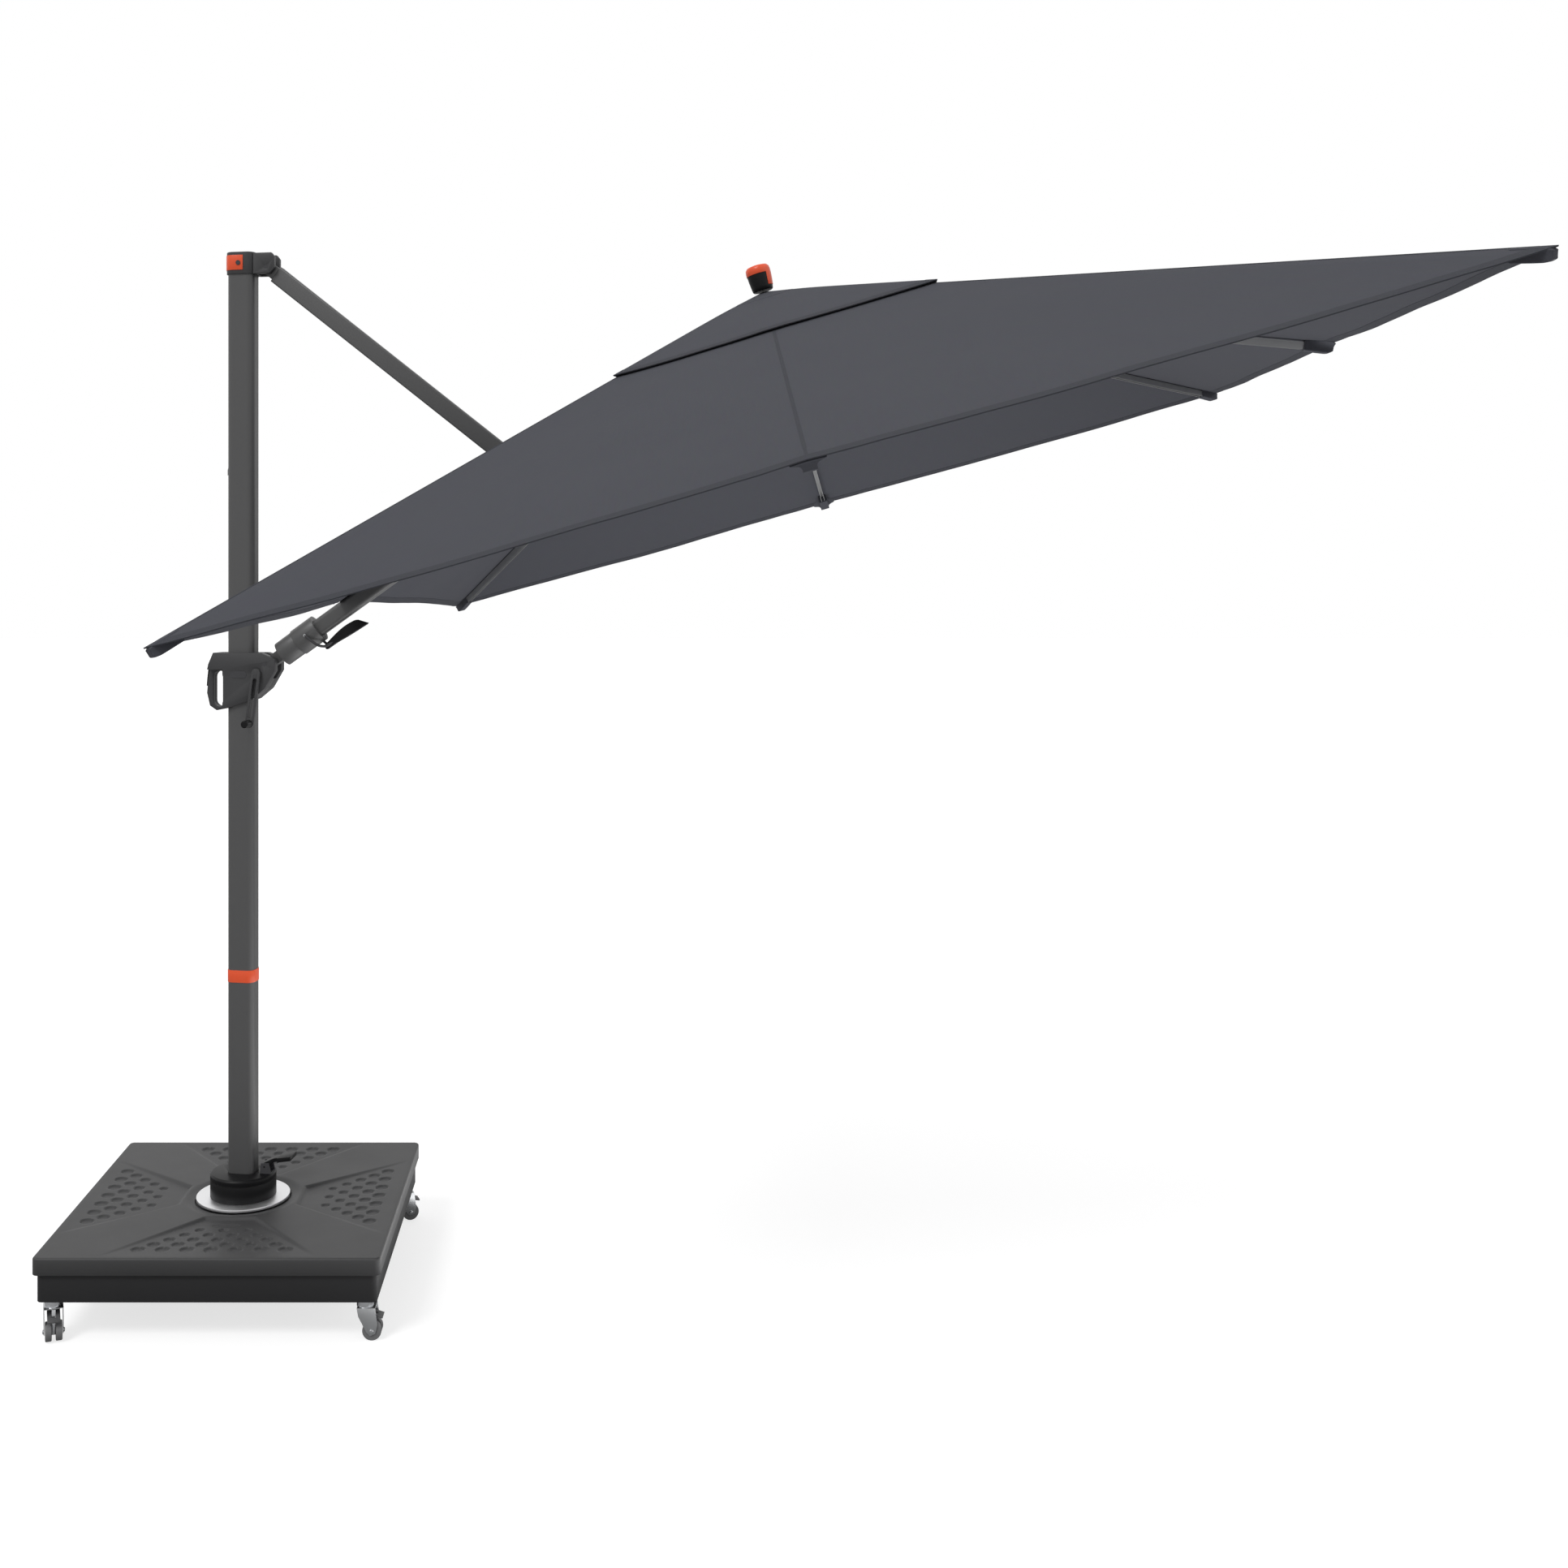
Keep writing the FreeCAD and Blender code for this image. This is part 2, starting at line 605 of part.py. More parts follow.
def build_mast_band():
    """Return the joint piece: a proud band between the mast tubes, on a sleeve inside both."""
    body = new_body("mast_band")
    bore = s.mast_wall * 4
    sleeve = sketch_on(body, "XY_Plane", s.band_bottom - s.band_sleeve)
    inner_corner = s.mast_corner - s.mast_wall
    rounded_rectangle(sleeve, s.mast_width - s.mast_wall * 2, s.mast_depth - s.mast_wall * 2, inner_corner)
    rounded_rectangle(sleeve, s.mast_width - bore, s.mast_depth - bore, s.mast_corner - bore / 2)
    grow(body, "Pad", sleeve, s.band_sleeve * 2 + s.band_height)
    band = sketch_on(body, "XY_Plane", s.band_bottom)
    proud = s.band_proud * 2
    rounded_rectangle(band, s.mast_width + proud, s.mast_depth + proud, s.mast_corner + s.band_proud)
    rounded_rectangle(band, s.mast_width - bore, s.mast_depth - bore, s.mast_corner - bore / 2)
    grow(body, "Pad", band, s.band_height)
    node(body, "mast_band", MAST)


def build_mast_head():
    """Return the head: a cap over the mast with a fork for the strut."""
    body = new_body("mast_head")
    cap = sketch_on(body, "XY_Plane", head_bottom)
    rounded_rectangle(cap, head_width, head_depth, s.mast_corner + s.head_wall)
    grow(body, "Pad", cap, s.head_height)
    lugs = sketch_on(body, "XZ_Plane")
    reach, pin_z = s.head_reach, strut_pivot_z
    outline(lugs, [(s.mast_width / 2, head_bottom), (reach - 14, head_bottom), (reach, head_bottom + 14),
                   (reach, pin_z + 30), (reach - 9, pin_z + 42), (s.mast_width / 2, pin_z + 42)])
    grow(body, "Pad", lugs, s.mast_depth - 4, both_ways=True)
    round_edges(body, 3, is_level_at(s.head_top))
    seat = sketch_on(body, "XY_Plane", head_bottom)
    rounded_rectangle(seat, s.mast_width, s.mast_depth, s.mast_corner)
    grow(body, "Pocket", seat, mast_end - head_bottom, down=True)
    slot = sketch_on(body, "XY_Plane", head_bottom)
    back = s.pivot_reach - 30
    rectangle(slot, s.head_reach, s.fork_gap, back + s.head_reach / 2)
    grow(body, "Pocket", slot, s.head_height * 4, both_ways=True)
    hole = sketch_on(body, "XZ_Plane")
    circle(hole, s.pivot_pin, s.pivot_reach, pin_z)
    grow(body, "Pocket", hole, s.mast_depth * 3, both_ways=True)
    node(body, "mast_head", MAST)


badge_proud = 1.5
badge_end = 12


def build_head_badge():
    """Return the bare badge plate that wraps the back of the head."""
    body = new_body("head_badge")
    ring = sketch_on(body, "XY_Plane", head_bottom + 11)
    corner = s.mast_corner + s.head_wall
    rounded_rectangle(ring, head_width + badge_proud * 2, head_depth + badge_proud * 2, corner + badge_proud)
    rounded_rectangle(ring, head_width, head_depth, corner)
    grow(body, "Pad", ring, s.badge_height)
    trim = sketch_on(body, "XY_Plane", head_bottom)
    rectangle(trim, head_width, head_depth * 2, head_width / 2 + badge_end)
    grow(body, "Pocket", trim, s.head_height * 3, both_ways=True)
    node(body, "head_badge", MAST)


def build_mast_fixings():
    """Return the strut's pivot pin, the badge screws and the clip that stops the slider."""
    pin = rod("strut_pin", s.pivot_pin, s.mast_depth - 4, -s.mast_depth / 2 + 2, "y", s.pivot_reach, strut_pivot_z)
    face = head_depth / 2 + badge_proud
    screws = [rod("badge_screw", 14, 2.5, -face - 2.5, "y", badge_end - 14, head_bottom + 32),
              rod("badge_screw", 14, 2.5, face, "y", badge_end - 14, head_bottom + 32)]
    clip = new_body("stop_clip")
    wedge = sketch_on(clip, "XZ_Plane")
    back = -s.mast_width / 2
    outline(wedge, [(back, s.stop_bottom), (back - s.stop_proud, s.stop_bottom),
                    (back - s.stop_proud, s.stop_bottom + s.stop_height / 2), (back, s.stop_bottom + s.stop_height)])
    grow(clip, "Pad", wedge, s.mast_depth / 3, both_ways=True)
    node(group("mast_fixings", [pin, clip] + screws), "mast_fixings", MAST)


pedal_hinge_z = drum_top + s.pedal_hinge_rise


def build_pedal():
    """Return the pedal's bracket on the drum and the sprung pedal that frees the turning lock."""
    bracket = new_body("pedal_bracket")
    cheek = sketch_on(bracket, "XZ_Plane")
    x, z = s.pedal_hinge_x, pedal_hinge_z
    outline(cheek, [(x - 14, drum_top), (x + 20, drum_top), (x + 14, z + 10), (x - 10, z + 10)])
    grow(bracket, "Pad", cheek, s.pedal_width + 10, both_ways=True)
    gap = sketch_on(bracket, "XY_Plane", drum_top + 3)
    rectangle(gap, s.drum_diameter, s.pedal_width + s.slide_gap * 2, x)
    grow(bracket, "Pocket", gap, s.drum_height, down=True)
    hole = sketch_on(bracket, "XZ_Plane")
    circle(hole, s.pedal_pin + s.running_gap * 2, x, z)
    grow(bracket, "Pocket", hole, s.mast_depth * 3, both_ways=True)
    node(bracket, "pedal_bracket", MAST)

    pedal = new_body("foot_pedal")
    arm = sketch_on(pedal, "XZ_Plane")
    outline(arm, [(x - 8, z - 8), (x + 8, z - 8), (x + 28, z + 14), (x + 83, z + 24), (x + 83, z + 34),
                  (x + 28, z + 25), (x - 8, z + 8)])
    grow(pedal, "Pad", arm, s.pedal_width, both_ways=True)
    tread = sketch_on(pedal, "XZ_Plane")
    outline(tread, [(x + 42, z + 17), (x + 83, z + 24), (x + 83, z + 36), (x + 42, z + 30)])
    grow(pedal, "Pad", tread, s.pedal_width + 24, both_ways=True)
    pin = sketch_on(pedal, "XZ_Plane")
    circle(pin, s.pedal_pin, x, z)
    grow(pedal, "Pad", pin, s.pedal_width + 10, both_ways=True)
    node(pedal, "foot_pedal", MAST)


# ---------------------------------------------------------------- slider

half_depth = s.slider_depth / 2
channel_width = s.mast_width + s.slider_guide * 2
channel_depth = s.mast_depth + s.slider_guide * 2
channel_corner = s.mast_corner + s.slider_guide
slider_left = -s.mast_width / 2 - 62
slider_right = s.pivot_reach + 32
slider_high = Size.of(34)
slider_low = Size.of(-138)
slot_centre_x = -s.mast_width / 2 - 7 - s.grip_slot_width / 2
slot_centre_z = slider_low + 12 + s.grip_slot_height / 2
lever_pivot_x = slider_left + 6


def build_slider_shell(name, side):
    """Return one half of the slider's housing, split on the plane of the boom."""
    body = new_body(name)
    sketch = sketch_on(body, "XZ_Plane")
    outline(sketch, [
        (slider_left + 24, slider_high), (s.pivot_reach - 10, slider_high), (slider_right, slider_high - 18),
        (slider_right, -18), (s.pivot_reach, -72), (s.mast_width / 2, -104), (-s.mast_width / 2, slider_low + 7),
        (slider_left + 26, slider_low), (slider_left + 5, slider_low + 14), (slider_left - 4, slider_low + 52),
        (slider_left, -42), (slider_left + 9, 0)])
    grow(body, "Pad", sketch, half_depth, down=side > 0)
    channel = sketch_on(body, "XY_Plane")
    rounded_rectangle(channel, channel_width, channel_depth, channel_corner)
    grow(body, "Pocket", channel, 999, both_ways=True)
    grip = sketch_on(body, "XZ_Plane")
    rounded_rectangle(grip, s.grip_slot_width, s.grip_slot_height, s.grip_slot_width / 2 - 0.5,
                      slot_centre_x, slot_centre_z)
    grow(body, "Pocket", grip, s.slider_depth * 2, both_ways=True)
    relief_depth = s.slider_depth
    relief = sketch_on(body, "XZ_Plane", (s.grip_thickness / 2 + relief_depth / 2) * -side)
    beside_mast = -s.mast_width / 2 - 9
    outline(relief, [(slider_left - 30, slider_low - 20), (beside_mast, slider_low - 20), (beside_mast, -16),
                     (slider_left - 30, -16)])
    grow(body, "Pocket", relief, relief_depth, both_ways=True)
    fork = sketch_on(body, "XZ_Plane")
    back = s.pivot_reach - 26
    outline(fork, [(back, -42), (slider_right + 10, -42), (slider_right + 10, 60), (back, 60)])
    grow(body, "Pocket", fork, s.fork_gap, both_ways=True)
    pin = sketch_on(body, "XZ_Plane")
    circle(pin, s.pivot_pin, s.pivot_reach, 0)
    grow(body, "Pocket", pin, s.slider_depth * 2, both_ways=True)
    recess = sketch_on(body, "XZ_Plane")
    outline(recess, [(slider_left - 20, -70), (slider_left + 7, -70), (slider_left + 7, -14),
                     (slider_left + 14, -14), (slider_left + 14, 50), (slider_left - 20, 50)])
    grow(body, "Pocket", recess, 21, both_ways=True)
    lever_hole = sketch_on(body, "XZ_Plane")
    circle(lever_hole, 4 + s.running_gap * 2, lever_pivot_x, -4)
    grow(body, "Pocket", lever_hole, 32, both_ways=True)
    if side < 0:
        shaft = sketch_on(body, "XZ_Plane")
        circle(shaft, s.stem_diameter + s.running_gap * 2, s.crank_reach, -s.crank_drop)
        grow(body, "Pocket", shaft, s.slider_depth * 2, both_ways=True)
    node(body, name, SLIDER)


def build_slider_fittings():
    """Return the two guide bushes, the boom's pivot pin with a bare plate, and the release lever."""
    bushes = []
    for low in (slider_high - s.bush_height, Size.of(-100)):
        bush = new_body("guide_bush")
        ring = sketch_on(bush, "XY_Plane", low)
        rounded_rectangle(ring, channel_width, channel_depth, channel_corner)
        rounded_rectangle(ring, s.mast_width + s.bush_gap * 2, s.mast_depth + s.bush_gap * 2,
                          s.mast_corner + s.bush_gap)
        grow(bush, "Pad", ring, s.bush_height)
        bushes.append(bush)
    node(group("slider_bushes", bushes), "slider_bushes", SLIDER)

    pin = rod("boom_pin", s.pivot_pin, s.slider_depth, -half_depth, "y", s.pivot_reach, 0)
    plate = new_body("slider_plate")
    pill = sketch_on(plate, "XZ_Plane", half_depth)
    rounded_rectangle(pill, 49, 21, 10, 0, -30)
    grow(plate, "Pad", pill, 1.2)
    node(group("slider_fixings", [pin, plate]), "slider_fixings", SLIDER)

    lever = new_body("release_lever")
    x = lever_pivot_x
    blade = sketch_on(lever, "XZ_Plane")
    outline(blade, [(x - 6, 0), (x + 5, 0), (x + 5, -9), (x - 2, -14), (x - 5, -45), (x - 8, -66), (x - 14, -66),
                    (x - 12, -42), (x - 8, -8)])
    grow(lever, "Pad", blade, 20, both_ways=True)
    hinge = sketch_on(lever, "XZ_Plane")
    circle(hinge, 4, x, -4)
    grow(lever, "Pad", hinge, 32, both_ways=True)
    node(lever, "release_lever", SLIDER)


def build_crank():
    """Return the crank's loop with its shaft and the knob that turns on its end."""
    lean = turned(Y_AXIS, s.crank_lean)
    place = SLIDER.multiply(moved(s.crank_reach, 0, -s.crank_drop)).multiply(lean)
    arm_face = half_depth + 3
    arm = new_body("crank_arm")
    loop = sketch_on(arm, "XZ_Plane", arm_face)
    radius = s.crank_width / 2
    middle = -s.crank_length / 2
    rounded_rectangle(loop, s.crank_width, s.crank_length + s.crank_width, radius - 0.5, 0, middle)
    grow(arm, "Pad", loop, s.crank_thickness)
    finger = sketch_on(arm, "XZ_Plane", arm_face)
    rounded_rectangle(finger, s.crank_width - 14, s.crank_length - s.crank_width - 6, 5, 0, middle)
    grow(arm, "Pocket", finger, s.crank_thickness * 4, both_ways=True)
    shaft = sketch_on(arm, "XZ_Plane", s.fork_gap / 2 + 2)
    circle(shaft, s.stem_diameter)
    grow(arm, "Pad", shaft, arm_face - s.fork_gap / 2 + 3)
    knob_pin = sketch_on(arm, "XZ_Plane", arm_face)
    circle(knob_pin, s.knob_pin, 0, -s.crank_length)
    grow(arm, "Pad", knob_pin, s.crank_thickness + s.knob_length - 6)
    node(arm, "crank_arm", place)

    knob = new_body("crank_knob")
    start = arm_face + s.crank_thickness + s.slide_gap
    grip = sketch_on(knob, "XZ_Plane", start)
    circle(grip, s.knob_diameter, 0, -s.crank_length)
    grow(knob, "Pad", grip, s.knob_length)
    round_edges(knob, 3, lambda edge: edge.Curve.TypeId == "Part::GeomCircle")
    bore = sketch_on(knob, "XZ_Plane", start)
    circle(bore, s.knob_pin + s.running_gap * 2, 0, -s.crank_length)
    grow(knob, "Pocket", bore, s.knob_length - 5, down=True)
    node(knob, "crank_knob", place)


# ---------------------------------------------------------------- boom and strut

def build_boom_yoke():
    """Return the yoke that hinges on the slider and ends in the lower half of the swivel."""
    tongue = rod("yoke_eye", s.tongue_radius * 2, s.tongue_width, -s.tongue_width / 2, "y")
    low = (0, -s.tongue_width / 2, -s.tongue_radius + 2)
    neck = block("yoke_neck", (s.collar_start + 4, s.tongue_width, s.tongue_radius * 2 - 4), low)
    collar = rod("yoke_collar", s.collar_lower, s.collar_split - s.collar_start, s.collar_start, "x")
    bore_start = s.collar_start + 8
    bore = rod("yoke_bore", s.spigot_diameter + s.running_gap * 2, s.collar_end, bore_start, "x")
    hole = rod("yoke_hole", s.pivot_pin + s.running_gap * 2, s.tongue_width * 2, -s.tongue_width, "y")
    blank = fused("yoke_blank", [tongue, neck, collar])
    yoke = cut("boom_yoke", blank, fused("yoke_tools", [bore, hole]))
    node(yoke, "boom_yoke", CARRIER)


def build_swivel_collar():
    """Return the upper half of the swivel, with its spigot and the socket of the boom tube."""
    gap = s.slide_gap
    collar = rod("swivel_blank", s.collar_upper, s.collar_end - s.collar_split - gap, s.collar_split + gap, "x")
    spigot = rod("swivel_spigot", s.spigot_diameter, s.collar_split - s.collar_start - 6, s.collar_start + 10, "x")
    low = (s.boom_start, -s.boom_width / 2, -s.boom_height / 2)
    socket = block("swivel_socket", (s.collar_end, s.boom_width, s.boom_height), low)
    hole = rod("swivel_hole", s.lever_rod + s.running_gap * 2, s.collar_upper * 2, -s.collar_upper, "y", s.lever_pivot)
    blank = fused("swivel_union", [collar, spigot])
    node(cut("swivel_collar", blank, fused("swivel_tools", [socket, hole])), "swivel_collar", BOOM)


hub_angle = boom_angle - s.canopy_tilt
crown_standoff = s.crown_radius + 14
boom_end = s.apex_distance - crown_standoff / trig("cos", hub_angle)


def build_boom_tube():
    """Return the boom's tube and the round journal that turns inside the strut's collar."""
    tube = new_body("boom_section")
    sketch = sketch_on(tube, "YZ_Plane", s.boom_start)
    rounded_rectangle(sketch, s.boom_width, s.boom_height, s.boom_corner)
    wall = s.boom_wall * 2
    rounded_rectangle(sketch, s.boom_width - wall, s.boom_height - wall, s.boom_corner - s.boom_wall)
    grow(tube, "Pad", sketch, boom_end - s.boom_start)
    lever_gap = sketch_on(tube, "XZ_Plane")
    circle(lever_gap, s.lever_rod + 2, s.lever_pivot)
    grow(tube, "Pocket", lever_gap, s.boom_width * 3, both_ways=True)
    journal = new_body("boom_journal")
    ring = sketch_on(journal, "YZ_Plane", collar_pivot_along - s.strut_collar_width / 2)
    circle(ring, s.journal_diameter)
    rounded_rectangle(ring, s.boom_width, s.boom_height, s.boom_corner)
    grow(journal, "Pad", ring, s.strut_collar_width)
    node(group("boom_tube", [tube, journal]), "boom_tube", BOOM)


def build_strut_collar():
    """Return the collar on the boom, its fork for the strut and the pin through the fork."""
    start = collar_pivot_along - s.strut_collar_width / 2
    ring = rod("collar_ring", s.strut_collar_diameter, s.strut_collar_width, start, "x")
    lug_width = s.fork_gap + 16
    low = (collar_pivot_along - s.tongue_radius, -lug_width / 2, 0)
    lug = block("collar_lug", (s.tongue_radius * 2, lug_width, collar_pivot_up), low)
    eye = rod("collar_eye", s.tongue_radius * 2, lug_width, -lug_width / 2, "y", collar_pivot_along, collar_pivot_up)
    bore_diameter = s.journal_diameter + s.running_gap * 2
    bore = rod("collar_bore", bore_diameter, s.strut_collar_width * 3, start - s.strut_collar_width, "x")
    low = (start - 10, -s.fork_gap / 2, s.tongue_radius + 13)
    slot = block("collar_slot", (s.strut_collar_width + 20, s.fork_gap, s.strut_collar_diameter), low)
    hole = rod("collar_hole", s.pivot_pin, lug_width * 2, -lug_width, "y", collar_pivot_along, collar_pivot_up)
    collar = cut("collar_body", fused("collar_union", [ring, lug, eye]), fused("collar_tools", [bore, slot, hole]))
    pin = rod("collar_pin", s.pivot_pin, lug_width, -lug_width / 2, "y", collar_pivot_along, collar_pivot_up)
    node(group("strut_collar", [collar, pin]), "strut_collar", CARRIER)


def build_strut():
    """Return the strut: a flat tube with a tongue plugged into each end."""
    tube = new_body("strut_section")
    sketch = sketch_on(tube, "YZ_Plane", s.strut_tube_start)
    wall = s.strut_wall * 2
    rounded_rectangle(sketch, s.strut_width, s.strut_height, 5)
    rounded_rectangle(sketch, s.strut_width - wall, s.strut_height - wall, 2.5)
    grow(tube, "Pad", sketch, s.arm_length - s.strut_tube_start * 2)
    tongues = []
    plug_depth = 40
    for end, direction in ((Size.of(0), 1), (s.arm_length, -1)):
        eye = rod("strut_eye", s.tongue_radius * 2, s.tongue_width, -s.tongue_width / 2, "y", end)
        neck_start = end if direction > 0 else end - s.strut_tube_start
        low = (neck_start, -s.tongue_width / 2, -s.tongue_radius)
        neck = block("strut_neck", (s.strut_tube_start, s.tongue_width, s.tongue_radius * 2), low)
        plug_start = end + s.strut_tube_start if direction > 0 else end - s.strut_tube_start - plug_depth
        low = (plug_start, wall - s.strut_width / 2, wall - s.strut_height / 2)
        plug = block("strut_plug", (plug_depth, s.strut_width - wall * 2, s.strut_height - wall * 2), low)
        hole = rod("strut_hole", s.pivot_pin + s.running_gap * 2, s.tongue_width * 2, -s.tongue_width, "y", end)
        tongues.append(cut("strut_tongue", fused("tongue_union", [eye, neck, plug]), hole))
    node(group("strut", [tube] + tongues), "strut", STRUT)


def build_swivel_lever():
    """Return the locking lever: a pin through the swivel, two rods and a padded grip under the boom."""
    half = s.collar_upper / 2 + s.lever_rod / 2 + 1
    pin = rod("lever_pin", s.lever_rod, half * 2, -half, "y", s.lever_pivot)
    bend = s.lever_pivot + 26
    rods = []
    for side in (1, -1):
        path = [Vector(float(s.lever_pivot), side * float(half), 0),
                Vector(float(bend) - 6, side * float(half), -float(s.collar_upper) / 2),
                Vector(float(bend), side * 9, -float(s.lever_drop))]
        for start, end in zip(path, path[1:]):
            bar = doc.addObject("Part::Cylinder", "lever_bar")
            bind(bar, "Radius", s.lever_rod / 2)
            bar.Height = (end - start).Length
            bar.Placement = Placement(start, Rotation(Z_AXIS, end - start))
            ball = doc.addObject("Part::Sphere", "lever_bend")
            bind(ball, "Radius", s.lever_rod / 2)
            ball.Placement.Base = start
            rods += [bar, ball]
    grip = new_body("lever_grip")
    sketch = sketch_on(grip, "YZ_Plane", bend - 4)
    rounded_rectangle(sketch, 27, 17, 7, 0, -s.lever_drop)
    grow(grip, "Pad", sketch, s.lever_length - 26)
    node(fused("swivel_lever", [pin, grip] + rods), "swivel_lever", BOOM)


# ---------------------------------------------------------------- canopy frame

half_side = s.canopy_side / 2
RIBS = {
    "right": 0, "far_right": 45, "far": 90, "far_left": 135, "near_left": 225, "near": 270, "near_right": 315,
}


GUIDING_RIB = "right"


class RibLayout:
    """Where one rib and its stay lie: pivots, angles and lengths in the plane of that rib."""

    def __init__(self, azimuth):
        self.azimuth = azimuth
        self.is_corner = azimuth % 90 != 0
        self.reach = half_side * math.sqrt(2) if self.is_corner else half_side
        self.slope = slope_of(s.canopy_rise, self.reach)
        below_fabric = s.rib_height / 2 + s.rib_gap
        self.pivot_z = -s.rib_pivot_radius * trig("tan", self.slope) - below_fabric / trig("cos", self.slope)
        self.length = (self.reach - s.rib_pivot_radius) / trig("cos", self.slope) - s.rib_end_gap
        self.stay = self.stay_length()
        self.joint_turn = math.degrees(math.asin(float(s.stay_offset / self.stay)))
        self.open_angle = self.slope + self.joint_turn
        self.runner_z = self.pivot_z - self.stay * trig("sin", self.open_angle) * 2

    def stay_length(self):
        """Return the length that makes this stay meet the runner with the canopy open and folded."""
        if not self.is_corner:
            return s.stay_length
        middle = RibLayout(0)
        travel = middle.stay * (self.swing(middle.stay, s.fold_angle) - self.swing(middle.stay, middle.slope))
        length = s.stay_length
        for _ in range(6):
            folded, opened = self.swing(length, s.fold_angle), self.swing(length, self.slope)
            length = travel / (folded - opened)
        return Size.of(float(length))

    @staticmethod
    def swing(length, rib_angle):
        """Return the sine of the line from the rib's pivot to the stay's joint."""
        offset = math.degrees(math.asin(float(s.stay_offset) / float(length)))
        return Size.of(math.sin(math.radians(float(rib_angle) + offset)))

    def frame(self):
        """Return the frame at the rib's pivot, with X along the open rib."""
        azimuth_turn = turned(Z_AXIS, self.azimuth)
        pivot = moved(s.rib_pivot_radius, 0, self.pivot_z)
        return CANOPY.multiply(azimuth_turn).multiply(pivot).multiply(turned(Y_AXIS, self.slope))

    def stay_frame(self):
        """Return the frame at the stay's joint on the rib, with X along the open stay towards the runner."""
        joint_x = self.stay * trig("cos", self.joint_turn)
        joint = moved(joint_x, 0, -s.stay_offset)
        return self.frame().multiply(joint).multiply(turned(Y_AXIS, 180 - self.slope - self.open_angle))


def build_rib(name, layout):
    """Return one rib: a channel open below, with a pivot eye, a stay bracket and an end cap."""
    body = new_body("rib_" + name)
    section = sketch_on(body, "YZ_Plane", 14)
    w, h, t = s.rib_width / 2, s.rib_height / 2, s.rib_wall
    outline(section, [(-w, -h), (t - w, -h), (t - w, h - t), (w - t, h - t), (w - t, -h), (w, -h), (w, h), (-w, h)])
    grow(body, "Pad", section, layout.length - 14)
    eye = sketch_on(body, "XZ_Plane")
    outline(eye, [(-9, -7), (-5, -9), (26, -9), (26, h - t / 2), (-3, h - t / 2), (-9, 6)])
    grow(body, "Pad", eye, s.rib_width - 1, both_ways=True)
    hole = sketch_on(body, "XZ_Plane")
    circle(hole, s.rib_pin + s.running_gap * 2)
    grow(body, "Pocket", hole, s.rib_width * 4, both_ways=True)
    bracket = sketch_on(body, "XZ_Plane")
    joint_x = layout.stay * trig("cos", layout.joint_turn)
    low = -s.stay_offset
    outline(bracket, [(joint_x - 14, t - h), (joint_x - 6, low - 6), (joint_x + 6, low - 6), (joint_x + 14, t - h)])
    grow(body, "Pad", bracket, s.rib_width + 5, both_ways=True)
    slot = sketch_on(body, "XZ_Plane")
    outline(slot, [(joint_x - 20, low - 10), (joint_x + 20, low - 10), (joint_x + 20, 1 - h), (joint_x - 20, 1 - h)])
    grow(body, "Pocket", slot, s.stay_width + s.slide_gap * 2, both_ways=True)
    joint = sketch_on(body, "XZ_Plane")
    circle(joint, s.rib_pin, joint_x, low)
    grow(body, "Pad", joint, s.rib_width + 4, both_ways=True)
    cap = sketch_on(body, "YZ_Plane", layout.length - 24)
    rectangle(cap, s.rib_width, s.rib_height)
    grow(body, "Pad", cap, 24)
    node(body, "rib_" + name, layout.frame())


def build_stay(name, layout):
    """Return one stay: a flat bar with an eye at each end, loose at the runner on all but the guiding stay."""
    body = new_body("stay_" + name)
    bar = sketch_on(body, "XZ_Plane")
    half = s.stay_height / 2
    end = layout.stay
    outline(bar, [(-3, -half), (-half, -3), (-half, 3), (-3, half), (end, half), (end, -half)])
    grow(body, "Pad", bar, s.stay_width, both_ways=True)
    eye = sketch_on(body, "XZ_Plane")
    circle(eye, s.stay_eye, end)
    grow(body, "Pad", eye, s.stay_width, both_ways=True)
    runner_clearance = s.running_gap if name == GUIDING_RIB else s.loose_eye_gap
    for x, clearance in ((0, s.running_gap), (end, runner_clearance)):
        hole = sketch_on(body, "XZ_Plane")
        circle(hole, s.rib_pin + clearance * 2, x)
        grow(body, "Pocket", hole, s.stay_width * 4, both_ways=True)
    node(body, "stay_" + name, layout.stay_frame())


def slotted_spool(name, profile, angles, slot_inner, length):
    """Return a turned body with upright slots from slot_inner outwards at each angle."""
    body = new_body(name)
    sketch = sketch_on(body, "XZ_Plane")
    outline(sketch, profile)
    turn(body, sketch)
    doc.recompute()
    slots = []
    for angle in angles:
        slot = block(name + "_slot", (s.crown_radius, s.rib_slot, length * 2), (slot_inner, -s.rib_slot / 2, -length))
        slot.Placement = turned(Z_AXIS, angle).multiply(slot.Placement)
        slots.append(slot)
    return cut(name + "_slotted", body, fused(name + "_slots", slots))


def pins_at(name, layouts, height_of, diameter, length):
    """Return one pin across each rib plane at the pivot radius."""
    pins = []
    for layout in layouts:
        pin = rod(name, diameter, length, -length / 2, "y", s.rib_pivot_radius, height_of(layout))
        pin.Placement = turned(Z_AXIS, layout.azimuth).multiply(pin.Placement)
        pins.append(pin)
    return pins


